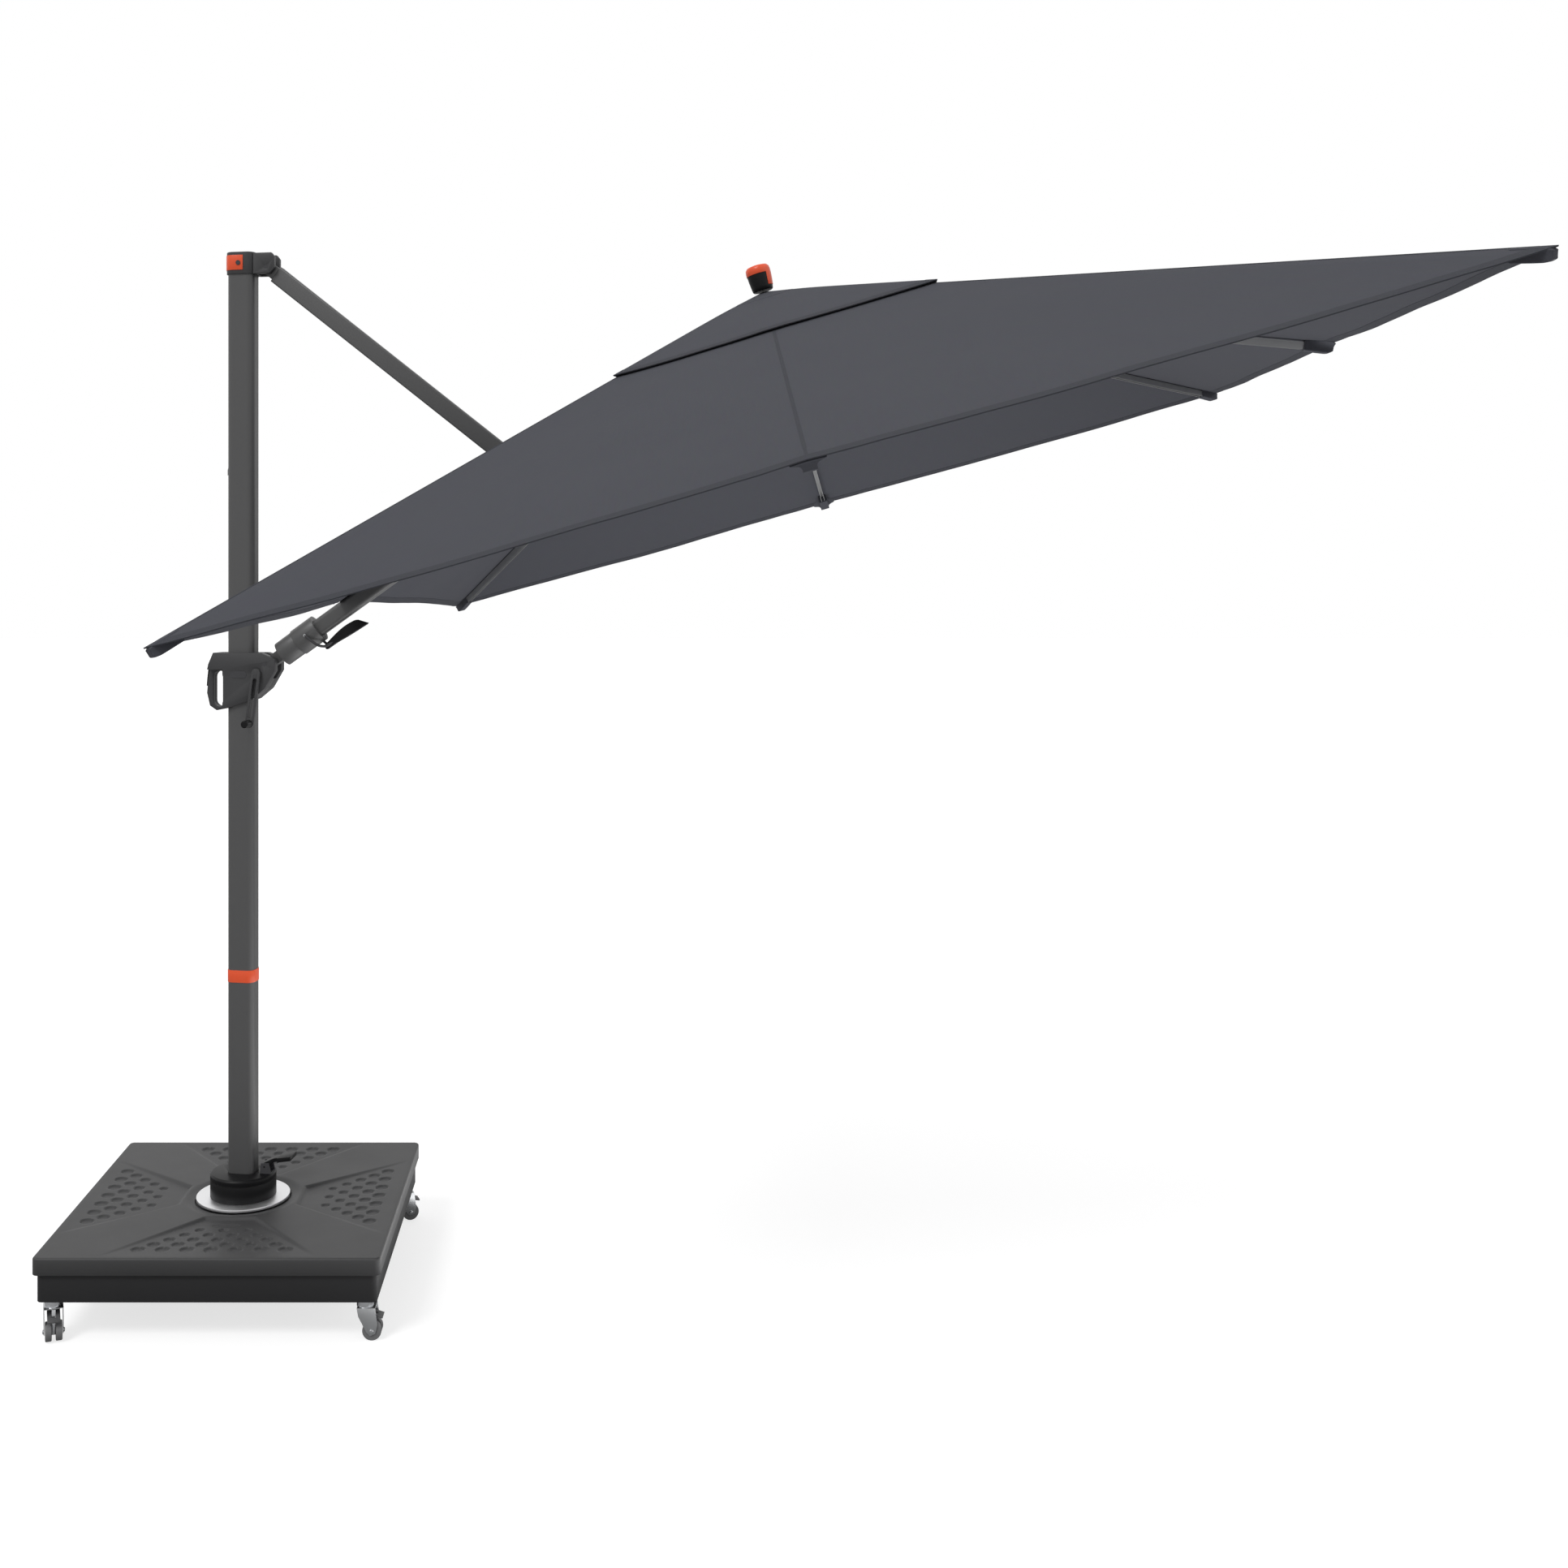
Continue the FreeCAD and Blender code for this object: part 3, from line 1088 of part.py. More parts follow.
def build_hub(layouts):
    """Return the crown that carries the ribs, on an arm that plugs into the boom."""
    rim = s.crown_radius
    drop = -rim * trig("tan", RibLayout(0).slope) - 8
    crown = slotted_spool("crown", [(0, -6), (20, -14), (rim, drop), (rim, -s.crown_depth), (0, -s.crown_depth)],
                          RIBS.values(), s.rib_pivot_radius - 17, s.crown_depth * 2)
    wall = s.boom_wall + s.slide_gap
    arm_length = s.crown_radius * 2
    arm = new_body("hub_arm")
    section = sketch_on(arm, "YZ_Plane", s.apex_distance - 20 - arm_length)
    rounded_rectangle(section, s.boom_width - wall * 2, s.boom_height - wall * 2, s.boom_corner - s.boom_wall)
    grow(arm, "Pad", section, arm_length)
    arm.Placement = CANOPY.inverse().multiply(BOOM).multiply(arm.Placement)
    pin_length = s.rib_slot + 16
    holes = fused("crown_pin_holes", pins_at("crown_hole", layouts, lambda one: one.pivot_z, s.rib_pin, pin_length))
    hub = cut("hub_body", fused("hub_union", [crown, arm]), holes)
    pins = pins_at("rib_pin", layouts, lambda one: one.pivot_z, s.rib_pin, pin_length)
    node(group("hub_crown", [hub] + pins), "hub_crown", CANOPY)


def build_runner(layouts):
    """Return the runner: two slotted rings on one tube, for the stays of the corners and of the sides."""
    high, low = RibLayout(45).runner_z, RibLayout(0).runner_z
    core, rim, half = Size.of(24), s.runner_radius, s.runner_ring / 2
    profile = [(0, low - half), (rim, low - half), (rim, low + half), (core, low + half), (core, high - half),
               (rim, high - half), (rim, high + half), (0, high + half)]
    spool = slotted_spool("runner_spool", profile, [45 * i for i in range(8)], s.rib_pivot_radius - 12, s.canopy_rise * 3)
    pin_length = s.rib_slot + 10
    holes = fused("runner_pin_holes", pins_at("runner_hole", layouts, lambda one: one.runner_z, s.rib_pin, pin_length))
    pins = pins_at("stay_pin", layouts, lambda one: one.runner_z, s.rib_pin, pin_length)
    node(group("runner", [cut("runner_body", spool, holes)] + pins), "runner", CANOPY)


def canopy_points(half, rise, left_lift):
    """Return the apex and the eight rim points of a pyramid, with its left middle lifted."""
    rim = [(1, 0), (1, 1), (0, 1), (-1, 1), (-1, 0), (-1, -1), (0, -1), (1, -1)]
    points = []
    for x, y in rim:
        lift = left_lift if (x, y) == (-1, 0) else 0
        points.append(Vector(x * half, y * half, lift - rise))
    return Vector(0, 0, 0), points


def pyramid_skin(name, half, rise, left_lift, height, thickness):
    """Return a thin closed pyramid of eight triangles above and eight below."""
    apex, rim = canopy_points(float(half), float(rise), float(left_lift))
    low = Vector(0, 0, float(height))
    high = Vector(0, 0, float(height) + float(thickness))
    faces = []
    for i, start in enumerate(rim):
        end = rim[(i + 1) % len(rim)]
        for corners in ((apex + low, end + low, start + low), (apex + high, start + high, end + high),
                        (start + low, end + low, end + high), (start + low, end + high, start + high)):
            faces.append(Part.Face(Part.makePolygon(list(corners) + [corners[0]])))
    shell = Part.makeShell(faces)
    solid = Part.makeSolid(shell)
    if solid.Volume < 0:
        solid.reverse()
    skin = doc.addObject("Part::Feature", name)
    skin.Shape = solid
    return skin


def build_canopy():
    """Return the fabric and its vent flap, resting on the ribs and on the boom."""
    left_boom = CANOPY.inverse().multiply(BOOM)
    boom_top = float(s.boom_height) / 2 + float(s.fabric_gap)
    along = left_boom.multVec(Vector(1, 0, boom_top)) - left_boom.multVec(Vector(0, 0, boom_top))
    near_boom = left_boom.multVec(Vector(0, 0, boom_top))
    left_z = near_boom.z + along.z * (-float(half_side) - near_boom.x) / along.x
    lift = left_z + float(s.canopy_rise)
    skin = pyramid_skin("canopy_skin", half_side, s.canopy_rise, lift, 0, s.fabric_thickness)
    slot_low = (collar_pivot_along - s.strut_slot_length / 2, -s.strut_slot_width / 2, -s.boom_height)
    slot = block("strut_slot", (s.strut_slot_length, s.strut_slot_width, s.boom_height * 4), slot_low)
    slot.Placement = left_boom.multiply(slot.Placement)
    opening = block("vent_opening", (s.vent_opening, s.vent_opening, s.canopy_rise),
                    (-s.vent_opening / 2, -s.vent_opening / 2, -s.canopy_rise / 2))
    node(cut("canopy", skin, fused("canopy_openings", [slot, opening])), "canopy", CANOPY)

    vent_half = s.vent_side / 2
    vent_rise = s.canopy_rise * vent_half / half_side
    vent_lift = lift * float(vent_half) / float(half_side)
    flap = pyramid_skin("vent_skin", vent_half, vent_rise, vent_lift, s.vent_lift, s.fabric_thickness)
    stem_hole = rod("vent_hole", 13, s.canopy_rise, -s.canopy_rise / 2)
    node(cut("canopy_vent", flap, stem_hole), "canopy_vent", CANOPY)


def build_finial():
    """Return the finial: a round cap on a stem that screws into the crown."""
    body = new_body("finial")
    sketch = sketch_on(body, "XZ_Plane")
    r = s.finial_diameter / 2
    low = s.vent_lift + s.fabric_thickness + 2
    top = low + s.finial_height
    outline(sketch, [(0, -6), (6, -8.4), (6, low), (r - 8, low), (r - 5, low + 8), (r, low + 40), (r, top - 9),
                     (r - 3, top - 3), (r - 9, top), (0, top)])
    turn(body, sketch)
    node(body, "finial", CANOPY)


# ---------------------------------------------------------------- assembly

def build_all():
    """Build every sub-part."""
    build_base_cover()
    build_base_tray()
    build_ballast_slabs()
    build_foot_frame()
    build_foot_disc()
    build_foot_bolts()
    build_caster_cups()
    for name, (x_sign, y_sign, heading) in CASTERS.items():
        build_caster(name, x_sign, y_sign, heading)
    build_turn_drum()
    mast_tube("mast_lower", socket_floor, s.band_bottom)
    mast_tube("mast_upper", band_top, mast_end)
    build_mast_band()
    build_mast_head()
    build_head_badge()
    build_mast_fixings()
    build_pedal()
    build_slider_shell("slider_shell_front", -1)
    build_slider_shell("slider_shell_rear", 1)
    build_slider_fittings()
    build_crank()
    build_boom_yoke()
    build_strut_collar()
    build_strut()
    build_swivel_collar()
    build_boom_tube()
    build_swivel_lever()
    layouts = [RibLayout(azimuth) for azimuth in RIBS.values()]
    for name, layout in zip(RIBS, layouts):
        build_rib(name, layout)
        build_stay(name, layout)
    build_hub(layouts)
    build_runner(layouts)
    build_canopy()
    build_finial()


def check_and_export():
    """Recompute, stop on any failed object or bad shape, and write one STEP file for each sub-part."""
    doc.recompute()
    failed = [obj.Label for obj in doc.Objects if {"Invalid", "Error"} & set(obj.State)]
    for obj in NODES:
        if obj.Shape.isNull() or not obj.Shape.isValid() or not obj.Shape.Solids:
            failed.append(obj.Label)
    if failed:
        raise RuntimeError("failed objects: " + ", ".join(failed))
    os.makedirs("parts", exist_ok=True)
    for obj in NODES:
        obj.Shape.exportStep("parts/%s.step" % obj.Label)
    print("%d sub-parts written" % len(NODES))


build_all()
check_and_export()
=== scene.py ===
"""Visual model of a square cantilever parasol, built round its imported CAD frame.

Lengths are metres in the frame of the CAD model: the floor point under the mast is the origin, +X runs
under the canopy, +Y to the rear and +Z up the mast.
"""

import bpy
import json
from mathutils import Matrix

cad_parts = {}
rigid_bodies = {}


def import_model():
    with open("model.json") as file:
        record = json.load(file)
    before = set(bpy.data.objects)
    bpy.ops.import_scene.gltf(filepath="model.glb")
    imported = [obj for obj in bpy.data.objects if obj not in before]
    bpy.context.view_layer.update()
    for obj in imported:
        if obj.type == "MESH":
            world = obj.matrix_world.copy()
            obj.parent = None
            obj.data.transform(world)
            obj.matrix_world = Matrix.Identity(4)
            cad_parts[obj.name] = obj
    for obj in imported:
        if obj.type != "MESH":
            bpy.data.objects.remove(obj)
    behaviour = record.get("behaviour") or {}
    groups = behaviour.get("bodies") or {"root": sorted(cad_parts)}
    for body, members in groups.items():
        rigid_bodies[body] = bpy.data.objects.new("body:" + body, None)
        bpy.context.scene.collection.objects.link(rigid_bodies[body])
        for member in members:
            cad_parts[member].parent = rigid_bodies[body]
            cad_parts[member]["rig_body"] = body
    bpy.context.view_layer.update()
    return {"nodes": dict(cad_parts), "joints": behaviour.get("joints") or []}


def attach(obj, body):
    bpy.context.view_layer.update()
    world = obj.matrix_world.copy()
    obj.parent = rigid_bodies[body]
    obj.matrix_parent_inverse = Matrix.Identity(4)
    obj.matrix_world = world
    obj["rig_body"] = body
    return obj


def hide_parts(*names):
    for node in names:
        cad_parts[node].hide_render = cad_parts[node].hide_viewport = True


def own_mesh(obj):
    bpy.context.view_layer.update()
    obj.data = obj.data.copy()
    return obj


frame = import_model()

import json
import logging
import math
from contextlib import contextmanager
from dataclasses import dataclass, field
from enum import Enum
from typing import Callable, ClassVar, Iterator, Optional, Sequence

import bmesh
import bpy
from mathutils import Matrix, Vector, noise

LOG = logging.getLogger("parasol")
MM = 0.001
Point = tuple[float, float, float]
Sockets = tuple[bpy.types.NodeSocket, bpy.types.NodeSocket]
Spot = tuple[Vector, Sequence[float]]


# ---------------------------------------------------------------- finishes

def add_node(nodes: bpy.types.Nodes, kind: str, values: Optional[dict[str, object]] = None) -> bpy.types.Node:
    """Add a shader node and set some of its inputs.

    Args:
        nodes: Nodes of the material or world.
        kind: Type of the node, without its prefix.
        values: Values of its inputs, by name.

    Returns:
        The node.
    """
    node = nodes.new("ShaderNode" + kind)
    for name, value in (values or {}).items():
        node.inputs[name].default_value = value
    return node


class Texture(Enum):
    """What the small relief of a finish looks like."""

    GRAIN = "grain"
    WEAVE = "weave"
    BRUSHED = "brushed"
    PITTED = "pitted"


@dataclass(frozen=True)
class Finish:
    """One surface finish, made as a node material.

    Args:
        name: Name of the material.
        colour: Linear base colour.
        roughness: Mean roughness.
        metallic: 1 for bare metal.
        texture: Kind of small relief.
        scale: Patterns per metre.
        relief: Height of the relief in millimetres.
        mottle: Share by which the colour varies.
        coat: Weight of a clear coat.
        sheen: Weight of a cloth sheen.
        gloss: Level of the plain reflection, 0.5 for most plastics.
    """

    name: str
    colour: Point
    roughness: float
    metallic: float = 0.0
    texture: Texture = Texture.GRAIN
    scale: float = 900.0
    relief: float = 0.05
    mottle: float = 0.06
    coat: float = 0.0
    sheen: float = 0.0
    gloss: float = 0.3

    CLOUD: ClassVar[dict[str, object]] = {"Scale": 7.0, "Detail": 6.0, "Roughness": 0.65}
    SLUB: ClassVar[dict[str, object]] = {"Scale": 160.0, "Detail": 4.0}
    THREAD_BEND: ClassVar[float] = 0.6
    SLUB_STRETCH: ClassVar[Point] = (1.0, 0.12, 1.0)
    SLUB_SHARE: ClassVar[float] = 0.16
    BRUSH_STRETCH: ClassVar[Point] = (1.0, 1.0, 0.03)
    GRAIN_DETAIL: ClassVar[float] = 3.0
    PIT_SHARE: ClassVar[float] = 0.2
    ROUGHNESS_SPREAD: ClassVar[float] = 0.06
    COAT_ROUGHNESS: ClassVar[float] = 0.25
    SHEEN_ROUGHNESS: ClassVar[float] = 0.6
    RELIEF_STRENGTH: ClassVar[float] = 0.8

    def make(self) -> bpy.types.Material:
        """Return the material, made the first time it is asked for."""
        made = bpy.data.materials.get(self.name)
        if made is not None:
            return made
        material = bpy.data.materials.new(self.name)
        material.use_nodes = True
        nodes, links = material.node_tree.nodes, material.node_tree.links
        shader = nodes["Principled BSDF"]
        plain = {"Metallic": self.metallic, "Specular IOR Level": self.gloss, "Coat Weight": self.coat,
                 "Coat Roughness": self.COAT_ROUGHNESS, "Sheen Weight": self.sheen,
                 "Sheen Roughness": self.SHEEN_ROUGHNESS}
        for name, value in plain.items():
            shader.inputs[name].default_value = value
        place = add_node(nodes, "TexCoord")
        cloud = add_node(nodes, "TexNoise", self.CLOUD)
        links.new(place.outputs["Object"], cloud.inputs["Vector"])
        tint = add_node(nodes, "Mix")
        tint.data_type = "RGBA"
        tint.inputs["A"].default_value = (*[c * (1 - self.mottle) for c in self.colour], 1)
        tint.inputs["B"].default_value = (*[min(1.0, c * (1 + self.mottle)) for c in self.colour], 1)
        links.new(cloud.outputs["Fac"], tint.inputs["Factor"])
        fine, colour = self._relief(nodes, links, place, tint.outputs["Result"])
        links.new(colour, shader.inputs["Base Color"])
        rough = add_node(nodes, "MapRange", {"To Min": max(0.0, self.roughness - self.ROUGHNESS_SPREAD),
                                             "To Max": min(1.0, self.roughness + self.ROUGHNESS_SPREAD)})
        links.new(cloud.outputs["Fac"], rough.inputs["Value"])
        links.new(rough.outputs["Result"], shader.inputs["Roughness"])
        bump = add_node(nodes, "Bump", {"Distance": self.relief * MM, "Strength": self.RELIEF_STRENGTH})
        links.new(fine, bump.inputs["Height"])
        links.new(bump.outputs["Normal"], shader.inputs["Normal"])
        return material

    def _relief(self, nodes: bpy.types.Nodes, links: bpy.types.NodeLinks, place: bpy.types.Node,
                colour: bpy.types.NodeSocket) -> Sockets:
        """Make the small relief.

        Args:
            nodes: Nodes of the material.
            links: Links of the material.
            place: Texture Coordinate node.
            colour: Socket of the plain colour.

        Returns:
            The sockets of the relief's height and of the colour with the relief in it.
        """
        if self.texture is Texture.WEAVE:
            return self._weave(nodes, links, place, colour)
        grain = add_node(nodes, "TexNoise", {"Scale": self.scale, "Detail": self.GRAIN_DETAIL})
        turn = add_node(nodes, "Mapping")
        links.new(place.outputs["Object"], turn.inputs["Vector"])
        if self.texture is Texture.BRUSHED:
            turn.inputs["Scale"].default_value = self.BRUSH_STRETCH
        links.new(turn.outputs["Vector"], grain.inputs["Vector"])
        if self.texture is not Texture.PITTED:
            return grain.outputs["Fac"], colour
        pits = add_node(nodes, "TexVoronoi", {"Scale": self.scale * self.PIT_SHARE})
        links.new(place.outputs["Object"], pits.inputs["Vector"])
        both = add_node(nodes, "Math")
        both.operation = "MULTIPLY"
        links.new(grain.outputs["Fac"], both.inputs[0])
        links.new(pits.outputs["Distance"], both.inputs[1])
        return both.outputs["Value"], colour

    def _weave(self, nodes: bpy.types.Nodes, links: bpy.types.NodeLinks, place: bpy.types.Node,
               colour: bpy.types.NodeSocket) -> Sockets:
        """Make a plain weave that follows the piece's UV map, whose unit is a metre.

        Args:
            nodes: Nodes of the material.
            links: Links of the material.
            place: Texture Coordinate node.
            colour: Socket of the plain colour.

        Returns:
            The sockets of the weave's height and of the colour with uneven threads in it.
        """
        cross = add_node(nodes, "Math")
        cross.operation = "MAXIMUM"
        for number, axis in enumerate(("X", "Y")):
            thread = add_node(nodes, "TexWave", {"Scale": self.scale, "Distortion": self.THREAD_BEND, "Detail": 1.0})
            thread.bands_direction = axis
            links.new(place.outputs["UV"], thread.inputs["Vector"])
            links.new(thread.outputs["Fac"], cross.inputs[number])
        slub = add_node(nodes, "TexNoise", self.SLUB)
        stretch = add_node(nodes, "Mapping", {"Scale": self.SLUB_STRETCH})
        links.new(place.outputs["UV"], stretch.inputs["Vector"])
        links.new(stretch.outputs["Vector"], slub.inputs["Vector"])
        tone = add_node(nodes, "Mix")
        tone.data_type = "RGBA"
        tone.blend_type = "MULTIPLY"
        tone.inputs["Factor"].default_value = self.SLUB_SHARE
        links.new(colour, tone.inputs["A"])
        links.new(slub.outputs["Color"], tone.inputs["B"])
        return cross.outputs["Value"], tone.outputs["Result"]


class Finishes:
    """Every finish of the parasol."""

    FABRIC = Finish("grey_polyester", (0.068, 0.070, 0.083), 0.88, texture=Texture.WEAVE, scale=420.0,
                    relief=0.12, mottle=0.03, sheen=0.03, gloss=0.12)
    # Hem tape colour. The rib seams use it too, and there its darker tone paints the soft shade along each ridge.
    HEM = Finish("grey_hem_tape_and_seam_shade", (0.050, 0.052, 0.062), 0.85, texture=Texture.WEAVE, scale=300.0, relief=0.2,
                 mottle=0.04, sheen=0.03, gloss=0.12)
    COATED = Finish("anthracite_powder_coat", (0.088, 0.088, 0.089), 0.42, scale=1500.0, relief=0.03, mottle=0.03,
                    metallic=0.2, gloss=0.35)
    SHELL = Finish("anthracite_plastic", (0.047, 0.047, 0.049), 0.48, scale=1800.0, relief=0.04, mottle=0.03)
    BLACK = Finish("black_moulding", (0.005, 0.005, 0.0055), 0.42, scale=1600.0, relief=0.04, gloss=0.18)
    COVER = Finish("grey_moulded_lid", (0.044, 0.044, 0.045), 0.50, scale=1300.0, relief=0.06, mottle=0.04, gloss=0.32)
    TRAY = Finish("grey_steel_tray", (0.022, 0.022, 0.023), 0.55, scale=1100.0, relief=0.05, gloss=0.2)
    CONCRETE = Finish("cast_concrete", (0.34, 0.33, 0.31), 0.9, texture=Texture.PITTED, scale=420.0, relief=0.6,
                      mottle=0.2)
    STEEL = Finish("black_steel", (0.012, 0.012, 0.013), 0.4, scale=900.0, metallic=0.1)
    SATIN = Finish("brushed_aluminium", (0.80, 0.80, 0.81), 0.40, 1.0, Texture.BRUSHED, 700.0, 0.02, 0.04)
    RIB = Finish("rib_aluminium", (0.52, 0.525, 0.53), 0.42, 0.9, Texture.BRUSHED, 700.0, 0.02, 0.05)
    ZINC = Finish("bright_zinc", (0.50, 0.51, 0.52), 0.28, 1.0, scale=500.0, relief=0.03, mottle=0.12)
    CHROME = Finish("polished_chrome", (0.62, 0.63, 0.65), 0.10, 1.0, scale=300.0, relief=0.005, mottle=0.02)
    WHEEL = Finish("grey_wheel_plastic", (0.17, 0.17, 0.173), 0.5, scale=1500.0)
    BRAKE = Finish("dark_grey_lever", (0.10, 0.10, 0.102), 0.5, scale=1500.0)
    ORANGE = Finish("orange_plastic", (0.80, 0.095, 0.030), 0.36, scale=1500.0, relief=0.02, mottle=0.02, coat=0.1)
    FOAM = Finish("black_grip_foam", (0.006, 0.006, 0.007), 0.7, texture=Texture.PITTED, scale=1600.0, relief=0.2,
                  gloss=0.2)


NODE_FINISHES: dict[str, Finish] = {
    "base_tray": Finishes.TRAY, "ballast_slabs": Finishes.CONCRETE, "foot_frame": Finishes.STEEL,
    "foot_disc": Finishes.SATIN, "foot_bolts": Finishes.ZINC, "caster_cups": Finishes.CHROME,
    "turn_drum": Finishes.BLACK, "pedal_bracket": Finishes.STEEL, "mast_lower": Finishes.COATED,
    "mast_upper": Finishes.COATED, "mast_band": Finishes.ORANGE, "mast_head": Finishes.SHELL,
    "head_badge": Finishes.ORANGE, "mast_fixings": Finishes.STEEL, "foot_pedal": Finishes.BLACK,
    "slider_shell_front": Finishes.SHELL, "slider_shell_rear": Finishes.SHELL, "slider_bushes": Finishes.BLACK,
    "slider_fixings": Finishes.STEEL, "release_lever": Finishes.BLACK, "crank_arm": Finishes.SHELL,
    "crank_knob": Finishes.BLACK, "boom_yoke": Finishes.COATED, "strut_collar": Finishes.COATED,
    "strut": Finishes.COATED, "swivel_collar": Finishes.COATED, "boom_tube": Finishes.COATED,
    "hub_crown": Finishes.BLACK, "runner": Finishes.BLACK,
}
BEVELS: dict[str, float] = {
    "base_tray": 1.5, "ballast_slabs": 4.0, "foot_disc": 0.8, "turn_drum": 2.5, "mast_head": 2.0, "head_badge": 0.6,
    "mast_band": 0.6, "foot_pedal": 1.5, "slider_shell_front": 2.0, "slider_shell_rear": 2.0, "crank_arm": 1.6,
    "crank_knob": 1.6, "boom_yoke": 1.2, "strut_collar": 1.5, "strut": 0.8, "swivel_collar": 1.5,
}
CASTERS = ("front_right", "front_left", "rear_left", "rear_right")
RIBS = ("right", "far_right", "far", "far_left", None, "near_left", "near", "near_right")


# ---------------------------------------------------------------- places

@dataclass(frozen=True)
class Layout:
    """The turned frames that the CAD model is built in."""

    yaw: float = -8.9
    pivot_reach: float = 0.080
    slider_height: float = 1.8109
    boom_rise: float = 35.0
    boom_roll: float = 1.4
    apex_along: float = 1.806
    apex_up: float = 0.0265
    canopy_turn: float = 19.6

    def mast(self) -> Matrix:
        """Return the mast's frame."""
        return Matrix.Rotation(math.radians(self.yaw), 4, "Z")

    def slider(self) -> Matrix:
        """Return the slider's frame."""
        return self.mast() @ Matrix.Translation((0, 0, self.slider_height))

    def boom(self) -> Matrix:
        """Return the boom's frame: x along the boom from its pivot."""
        tilt = Matrix.Rotation(math.radians(-self.boom_rise), 4, "Y")
        roll = Matrix.Rotation(math.radians(self.boom_roll), 4, "X")
        return self.slider() @ Matrix.Translation((self.pivot_reach, 0, 0)) @ tilt @ roll

    def canopy(self) -> Matrix:
        """Return the canopy's frame: z along its axis, x to the middle of its right side."""
        turn = Matrix.Rotation(math.radians(self.canopy_turn), 4, "Y")
        return self.boom() @ Matrix.Translation((self.apex_along, 0, self.apex_up)) @ turn


LAYOUT = Layout()


# ---------------------------------------------------------------- bench

def deselect() -> None:
    """Leave nothing selected, in object mode."""
    if bpy.context.object is not None and bpy.context.object.mode != "OBJECT":
        bpy.ops.object.mode_set(mode="OBJECT")
    bpy.ops.object.select_all(action="DESELECT")


def pick(obj: bpy.types.Object) -> None:
    """Select one object alone and make it active."""
    deselect()
    obj.select_set(True)
    bpy.context.view_layer.objects.active = obj


@contextmanager
def editing(obj: bpy.types.Object, whole: bool = False) -> Iterator[bmesh.types.BMesh]:
    """Open an object in edit mode.

    Args:
        obj: Object to edit.
        whole: Whether all of it is selected; otherwise nothing is.

    Yields:
        Its mesh.
    """
    pick(obj)
    bpy.ops.object.mode_set(mode="EDIT")
    bpy.ops.mesh.select_all(action="SELECT" if whole else "DESELECT")
    yield bmesh.from_edit_mesh(obj.data)
    bpy.ops.object.mode_set(mode="OBJECT")


def select_faces(obj: bpy.types.Object, test: Callable[[bmesh.types.BMFace], bool]) -> int:
    """Select the faces of an object in edit mode that pass a test.

    Args:
        obj: Object in edit mode.
        test: Says whether a face is wanted.

    Returns:
        The number of faces selected.
    """
    mesh = bmesh.from_edit_mesh(obj.data)
    bpy.ops.mesh.select_all(action="DESELECT")
    count = 0
    for face in mesh.faces:
        if test(face):
            face.select_set(True)
            count += 1
    bmesh.update_edit_mesh(obj.data)
    return count


def apply_modifier(obj: bpy.types.Object, kind: str, **settings: object) -> None:
    """Add a modifier and apply it.

    Args:
        obj: Object to change.
        kind: Type of the modifier.
        **settings: Its settings.
    """
    pick(obj)
    modifier = obj.modifiers.new(kind.lower(), kind)
    for key, value in settings.items():
        setattr(modifier, key, value)
    bpy.ops.object.modifier_apply(modifier=modifier.name)


def bevel(obj: bpy.types.Object, width: float, degrees: float, **settings: object) -> None:
    """Round the edges of an object that are sharper than an angle.

    Args:
        obj: Object to change.
        width: Width of the rounding in metres.
        degrees: Least angle between two faces that gets rounded.
        **settings: More settings of the modifier.
    """
    apply_modifier(obj, "BEVEL", width=width, segments=2, limit_method="ANGLE", angle_limit=math.radians(degrees),
                   **settings)


def smooth(obj: bpy.types.Object, degrees: float = 35.0) -> None:
    """Shade an object smooth below an angle between faces.

    Args:
        obj: Object to shade.
        degrees: Angle over which an edge stays sharp.
    """
    pick(obj)
    bpy.ops.object.shade_smooth_by_angle(angle=math.radians(degrees))


def place(obj: bpy.types.Object, matrix: Matrix) -> None:
    """Move the mesh of an object by its own placement and then by a matrix.

    Args:
        obj: Object to move; it ends at the origin.
        matrix: Where the mesh goes.
    """
    obj.data.transform(matrix @ obj.matrix_basis)
    obj.matrix_basis = Matrix.Identity(4)
    obj.data.update()


def face_outwards(obj: bpy.types.Object) -> None:
    """Turn the faces of a closed piece outwards."""
    with editing(obj, whole=True):
        bpy.ops.mesh.normals_make_consistent(inside=False)


def face_up(obj: bpy.types.Object, up: Vector) -> None:
    """Turn an open sheet over if most of it faces away from a direction."""
    if sum(polygon.normal.dot(up) for polygon in obj.data.polygons) < 0:
        with editing(obj, whole=True):
            bpy.ops.mesh.flip_normals()


def lay_uv(obj: bpy.types.Object, spots: Sequence[tuple[float, float]]) -> None:
    """Give each vertex of a mesh its place on the UV map."""
    uv = obj.data.uv_layers.active.data
    for loop in obj.data.loops:
        uv[loop.index].uv = spots[loop.vertex_index]


def block(length: float, width: float, height: float, cuts: int = 0) -> bpy.types.Object:
    """Add a box round the origin.

    Args:
        length: Its size along X.
        width: Its size along Y.
        height: Its size along Z.
        cuts: Number of cuts across each side.

    Returns:
        The box.
    """
    deselect()
    bpy.ops.mesh.primitive_cube_add(size=1)
    box = bpy.context.object
    for vertex in box.data.vertices:
        vertex.co = Vector((vertex.co.x * length, vertex.co.y * width, vertex.co.z * height))
    if cuts:
        with editing(box, whole=True):
            bpy.ops.mesh.subdivide(number_cuts=cuts)
    return box


